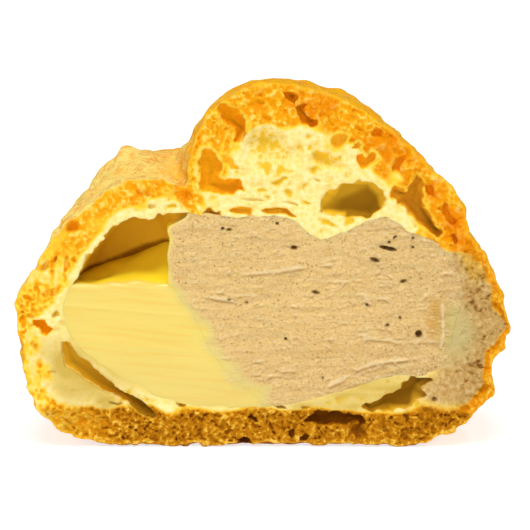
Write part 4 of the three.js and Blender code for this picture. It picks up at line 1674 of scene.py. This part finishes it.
@dataclass
class Filling:
    """One of the two creams."""

    puff: Puff
    side: Side
    name: str
    replaces: str
    finish: Cream
    low: tuple[float, float, float]
    high: tuple[float, float, float]
    target: int  # triangles
    step: float = 0.22
    far_step: float = 0.9
    custard_top: float = 29.3
    slope: float = 0.03  # how the custard's top rises behind the cut
    slope_at_seam: float = 0.4
    lap: float = 0.4  # how far the custard laps over the mocha cream, and both creams under the crumb
    thin_from: float = 3.0  # how far behind the cut its faces start to be merged
    shade_below: int = 2  # how many samples under a drawn line its shade lies
    ridges: tuple[Ridge, ...] = (
        Ridge(((11.6, 11.2), (16.5, 14.0), (20.0, 15.4), (25.2, 15.9)), 0.25, 0.4, Side.MOCHA),
        Ridge(((-4.1, 31.0), (4.0, 31.9), (11.5, 32.8)), 0.16, 0.35, Side.MOCHA),
        Ridge(((-10.8, 27.4), (-5.0, 26.2)), 0.16, 0.3, Side.MOCHA),
        Ridge(((31.1, 18.0), (31.5, 20.0), (31.4, 23.0), (31.3, 25.8)), 0.35, 0.3, Side.MOCHA),
        Ridge(((34.0, 12.6), (35.3, 15.2)), 0.3, 0.25, Side.MOCHA),
        Ridge(((-34.6, 25.5), (-22.0, 24.4), (-6.0, 23.0)), 0.14, 0.3, Side.CUSTARD),
        Ridge(((-30.0, 19.0), (-14.0, 17.4)), 0.1, 0.3, Side.CUSTARD),
    )

    @classmethod
    def top_height(cls, x: np.ndarray, y: np.ndarray) -> np.ndarray:
        """How high the custard's top is at each place, in millimetres."""
        slope = cls.slope + (cls.slope_at_seam - cls.slope) * smooth(x, -31, -15)
        return cls.custard_top + slope * np.maximum(y, 0)

    def seam(self, grid: Grid) -> np.ndarray:
        """How far each place is to the mocha cream's side of the seam, in millimetres."""
        across, height = (np.array(column) for column in zip(*CREAM_SEAM))
        middle = np.interp(grid.z, height, across)
        kernel = np.hanning(9) / np.hanning(9).sum()
        middle = np.convolve(np.pad(middle, 4, mode="edge"), kernel, mode="valid")
        lean = np.clip(np.gradient(middle, grid.z), -2, 2)
        return (grid.axes[0] - middle[None, None, :]) / np.sqrt(1 + lean * lean)[None, None, :]

    def build(self) -> bpy.types.Object:
        """Builds and dresses the cream.

        Returns:
            The finished piece.
        """
        grid = Grid.over(self.low, self.high, self.step, self.far_step)
        cavity = CAVITY.distance(grid)
        seam = self.seam(grid)
        looks = self.looks(grid.cut, seam)
        depth = self.face_depth(grid, cavity, seam, looks)
        body = self.body(grid, cavity, seam, depth)
        points, quads = main_lump(*skin(body, grid))
        piece = Skinned(self.name, points, quads).object(self.puff.shift, self.finish.material())
        thin_out(piece, self.puff.shift, self.thin_from, self.target, np.zeros(len(points), dtype=bool))
        paint(piece, self.puff.shift, grid, self.masks(grid, looks))
        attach(piece, BODY)
        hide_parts(self.replaces)
        return piece

    def looks(self, cut: Grid, seam: np.ndarray) -> dict[str, np.ndarray]:
        """Works out how the cut face looks.

        Args:
            cut: the places in the cut.
            seam: distance to the mocha cream's side of the seam, in millimetres.

        Returns:
            Shares from 0 to 1: mocha cream, dragged by the knife, and drawn into lines. And two reliefs,
            the drag marks and the dabs.
        """
        x, _, z = cut.axes
        curls = Unevenness(44, (2.4, STEADY, 1.4)).over(cut)
        wide = 3.6 * smooth(z, 30.5, 27)  # the creams blend over more millimetres low in the cut
        mocha = smooth(seam + (0.2 + 0.1 * wide) * curls, -0.3 - 0.25 * wide, 0.7 + 0.8 * wide)
        dragged = smooth(curls + 0.8 * smooth(x, -6, 6) * smooth(z, 38, 30), -0.8, 1.0)
        wiggle = np.abs(Unevenness(47, (2.4, STEADY, 0.6)).over(cut))
        crumpled = np.abs(Unevenness(48, (1.2, STEADY, 0.5)).over(cut))
        drawn = np.maximum(smooth(wiggle, 0.2, 0.0) * dragged, 0.6 * smooth(crumpled, 0.2, 0.0)) * mocha
        return {
            "mocha": mocha, "dragged": dragged, "drawn": drawn,
            "drag": Unevenness(41, (5, STEADY, 0.9)).over(cut),
            "dabs": Unevenness(42, (2.2, STEADY, 0.7)).over(cut),
        }

    def face_depth(
        self, grid: Grid, cavity: np.ndarray, seam: np.ndarray, looks: dict[str, np.ndarray]
    ) -> np.ndarray:
        """Works out how far behind the cut's plane the cream's face is.

        Args:
            grid: the places.
            cavity: distance from the shell, in millimetres.
            seam: distance to the mocha cream's side of the seam.
            looks: how the cut face looks.

        Returns:
            One depth in millimetres for each place in the cut.
        """
        x, _, z = grid.axes
        mocha, drag, dabs = looks["mocha"], looks["drag"], looks["dabs"]
        rough = mocha * (0.05 * drag + 0.07 * dabs)
        depth = self.puff.cut_depth(grid) + 0.03 * drag - 0.1 * looks["drawn"] + rough
        depth = depth + 0.04 * smooth(grid.at_cut(cavity), -0.6, -0.1)
        dips = smooth(seam, -0.6, 0.4) if self.side is Side.CUSTARD else smooth(seam, 0.1, -0.6)
        depth = depth + 0.07 * dips
        for ridge in self.ridges:
            raised = ridge.height * np.exp(-((line_distance(ridge.line, x, z) / ridge.half_width) ** 2))
            own = mocha if ridge.side is Side.MOCHA else 1 - mocha
            depth = depth - raised * own * (0.7 + 0.3 * np.clip(dabs, -1, 1))
        return depth

    def body(self, grid: Grid, cavity: np.ndarray, seam: np.ndarray, depth: np.ndarray) -> np.ndarray:
        """Works out the cream's surface, with its air holes.

        Args:
            grid: the places.
            cavity: distance from the shell, in millimetres.
            seam: distance to the mocha cream's side of the seam.
            depth: how far behind the cut's plane its face is.

        Returns:
            Distances in millimetres, below zero in the cream.
        """
        x, y, z = grid.axes
        over_seam = self.lap if self.side is Side.CUSTARD else 0.1 + 0.6 * smooth(z, 29.5, 28)
        body = soft_max(cavity - self.lap, -seam * self.side.value - over_seam, 0.05)
        if self.side is Side.CUSTARD:
            top = self.top_height(x, y) + 0.18 * Unevenness(45, (1.8, 3, STEADY)).over(grid)
            body = np.maximum(soft_max(body, z - top, 0.3), soft_max(z - top, depth - y, 0.8))
        else:
            swollen = 0.15 * Unevenness(46, (2, 2, 1.6)).over(grid) * smooth(x, -8, -14)
            body = soft_max(body + swollen, depth - y, 0.1)
        for hole in AIR_HOLES:
            hole.carve(body, grid)
        return body

    def masks(self, grid: Grid, looks: dict[str, np.ndarray]) -> dict[str, np.ndarray]:
        """Works out the attributes that the finish reads.

        Args:
            grid: the places.
            looks: how the cut face looks.

        Returns:
            Each attribute's field.
        """
        x, y, z = grid.axes
        cut = grid.cut
        mocha, drawn, dabs = looks["mocha"], looks["drawn"], looks["dabs"]
        soak = smooth(x + 0.7 * dabs, 28.5, 32.2) * smooth(z, 38, 34)
        # Darker towards the right and the bottom of the mocha cream.
        soak = np.maximum(soak, 0.5 * smooth(x, 10, 27) + 0.4 * smooth(z, 24, 12))
        # The knife's ridges join the drawn lines, which get a painted highlight.
        for ridge in self.ridges:
            if ridge.side is Side.MOCHA:
                near = smooth(line_distance(ridge.line, x, z) + 0.12 * dabs, 1.2 * ridge.half_width, 0.0)
                drawn = np.maximum(drawn, near * mocha)
        return {
            # behind: where the custard gets that painted shade.
            "mocha": mocha, "behind": smooth(y, 0.3, 1.6), "soak": soak,
            "spot": 0.8 * ORANGE_SPOT.share(cut, 0.04 * looks["drag"]), "dragged": looks["dragged"],
            # below: the drawn lines moved a little down, where they get painted shadow.
            "drawn": drawn, "below": np.roll(drawn, -self.shade_below, axis=2),
            # pore: where the inside of an air hole gets painted shade.
            "pore": np.max([hole.share(cut) for hole in AIR_HOLES], axis=0) * smooth(y, 2.5, 1.5),
            # Besides the damp patch, the custard is painted greyer lower down: painted shade, as the light
            # falls from above.
            "damp": DAMP.share(cut, 0.06 * dabs) + 0.3 * smooth(z, 22, 9) * (1 - mocha),
        }


@dataclass
class Studio:
    """A pale table under soft lights, and the camera."""

    puff: Puff
    distance: float = 450.0  # camera to the cut face, in millimetres
    width: float = 92.4  # what the picture's width takes in at the cut face
    elevation: float = 10.0
    aim: tuple[float, float, float] = (0.26, 0.0, 32.7)
    room: float = 0.27
    # Each lamp's name, strength, direction that it is in, and how many degrees across it looks.
    lamps: tuple[tuple[str, float, tuple[float, float, float], float], ...] = (
        ("softbox_above", 1.5, (-0.06, -0.4, 1.0), 22.0),
        ("softbox_in_front", 0.3, (-0.2, -1.0, 0.8), 30.0),
        ("softbox_at_table_height", 0.65, (-0.25, -1.0, 0.15), 45.0),
        ("bulb_above", 0.45, (0.4, -0.45, 1.0), 4.0),
    )
    table_white: float = 0.48
    table_glow: float = 0.70

    def build(self) -> None:
        """Sets up the table, the lights, the surroundings and the camera."""
        self.table()
        self.lights()
        self.camera()

    def table(self) -> None:
        """Lays a white acrylic table, softly lit from below, under the puff."""
        mesh = bpy.data.meshes.new("table")
        half = 3.0
        corners = [(-half, -half, 0), (half, -half, 0), (half, half, 0), (-half, half, 0)]
        mesh.from_pydata(corners, [], [(0, 1, 2, 3)])
        made = bpy.data.materials.new("white_acrylic")
        made.use_nodes = True
        shader = made.node_tree.nodes["Principled BSDF"]
        shader.inputs["Base Color"].default_value = (*[self.table_white] * 3, 1)
        shader.inputs["Roughness"].default_value = 0.7
        shader.inputs["Specular IOR Level"].default_value = 0.1
        shader.inputs["Emission Color"].default_value = (1, 1, 1, 1)
        shader.inputs["Emission Strength"].default_value = self.table_glow
        mesh.materials.append(made)
        table = bpy.data.objects.new("table", mesh)
        bpy.context.collection.objects.link(table)

    def lights(self) -> None:
        """Lights the puff evenly from the room, with large soft lamps above and in front."""
        world = bpy.data.worlds.new("room")
        world.use_nodes = True
        background = world.node_tree.nodes["Background"]
        background.inputs["Color"].default_value = (1, 1, 1, 1)
        background.inputs["Strength"].default_value = self.room
        bpy.context.scene.world = world
        for name, strength, direction, across in self.lamps:
            data = bpy.data.lights.new(name, "SUN")
            data.energy = strength
            data.angle = math.radians(across)
            lamp = bpy.data.objects.new(name, data)
            lamp.rotation_euler = Vector(direction).to_track_quat("Z", "Y").to_euler()
            bpy.context.collection.objects.link(lamp)
        bpy.context.scene.view_settings.view_transform = "Standard"

    def camera(self) -> None:
        """Places the camera in front of the cut, a little above it."""
        data = bpy.data.cameras.new("camera")
        data.sensor_width = 36
        data.lens = data.sensor_width * self.distance / self.width
        data.clip_start = 0.01
        made = bpy.data.objects.new("camera", data)
        tilt = math.radians(self.elevation)
        back = Vector((0, -math.cos(tilt), math.sin(tilt)))
        aim = Vector((np.array(self.aim) + self.puff.shift) * MM)
        made.location = aim + back * self.distance * MM
        made.rotation_euler = (-back).to_track_quat("-Z", "Y").to_euler()
        bpy.context.collection.objects.link(made)
        bpy.context.scene.camera = made


def main() -> None:
    """Builds the table, the lights, the camera and the three pieces, and reports each."""
    logging.basicConfig(level=logging.INFO, format="%(relativeCreated)7.0f ms %(message)s", stream=sys.stdout)
    puff = Puff.in_frame(*cad_box)
    Studio(puff).build()
    custard = Filling(
        puff, Side.CUSTARD, "custard_filling", "custard", Cream("boiled_custard", 0.2, 0.45),
        (-36.2, -1.0, 5.6), (5.2, 34.0, 41.5), target=90_000,
    )
    mocha = Filling(
        puff, Side.MOCHA, "mocha_cream_filling", "mocha_cream", Cream("whipped_mocha_cream", 0.6, 0.25),
        (-17.8, -1.0, 5.6), (36.0, 36.5, 43.0), target=140_000,
    )
    for sub_part in (ChouxShell(puff), custard, mocha):
        piece = sub_part.build()
        log.info("%s: %d triangles", piece.name, triangles(piece.data))


if __name__ == "__main__":
    main()
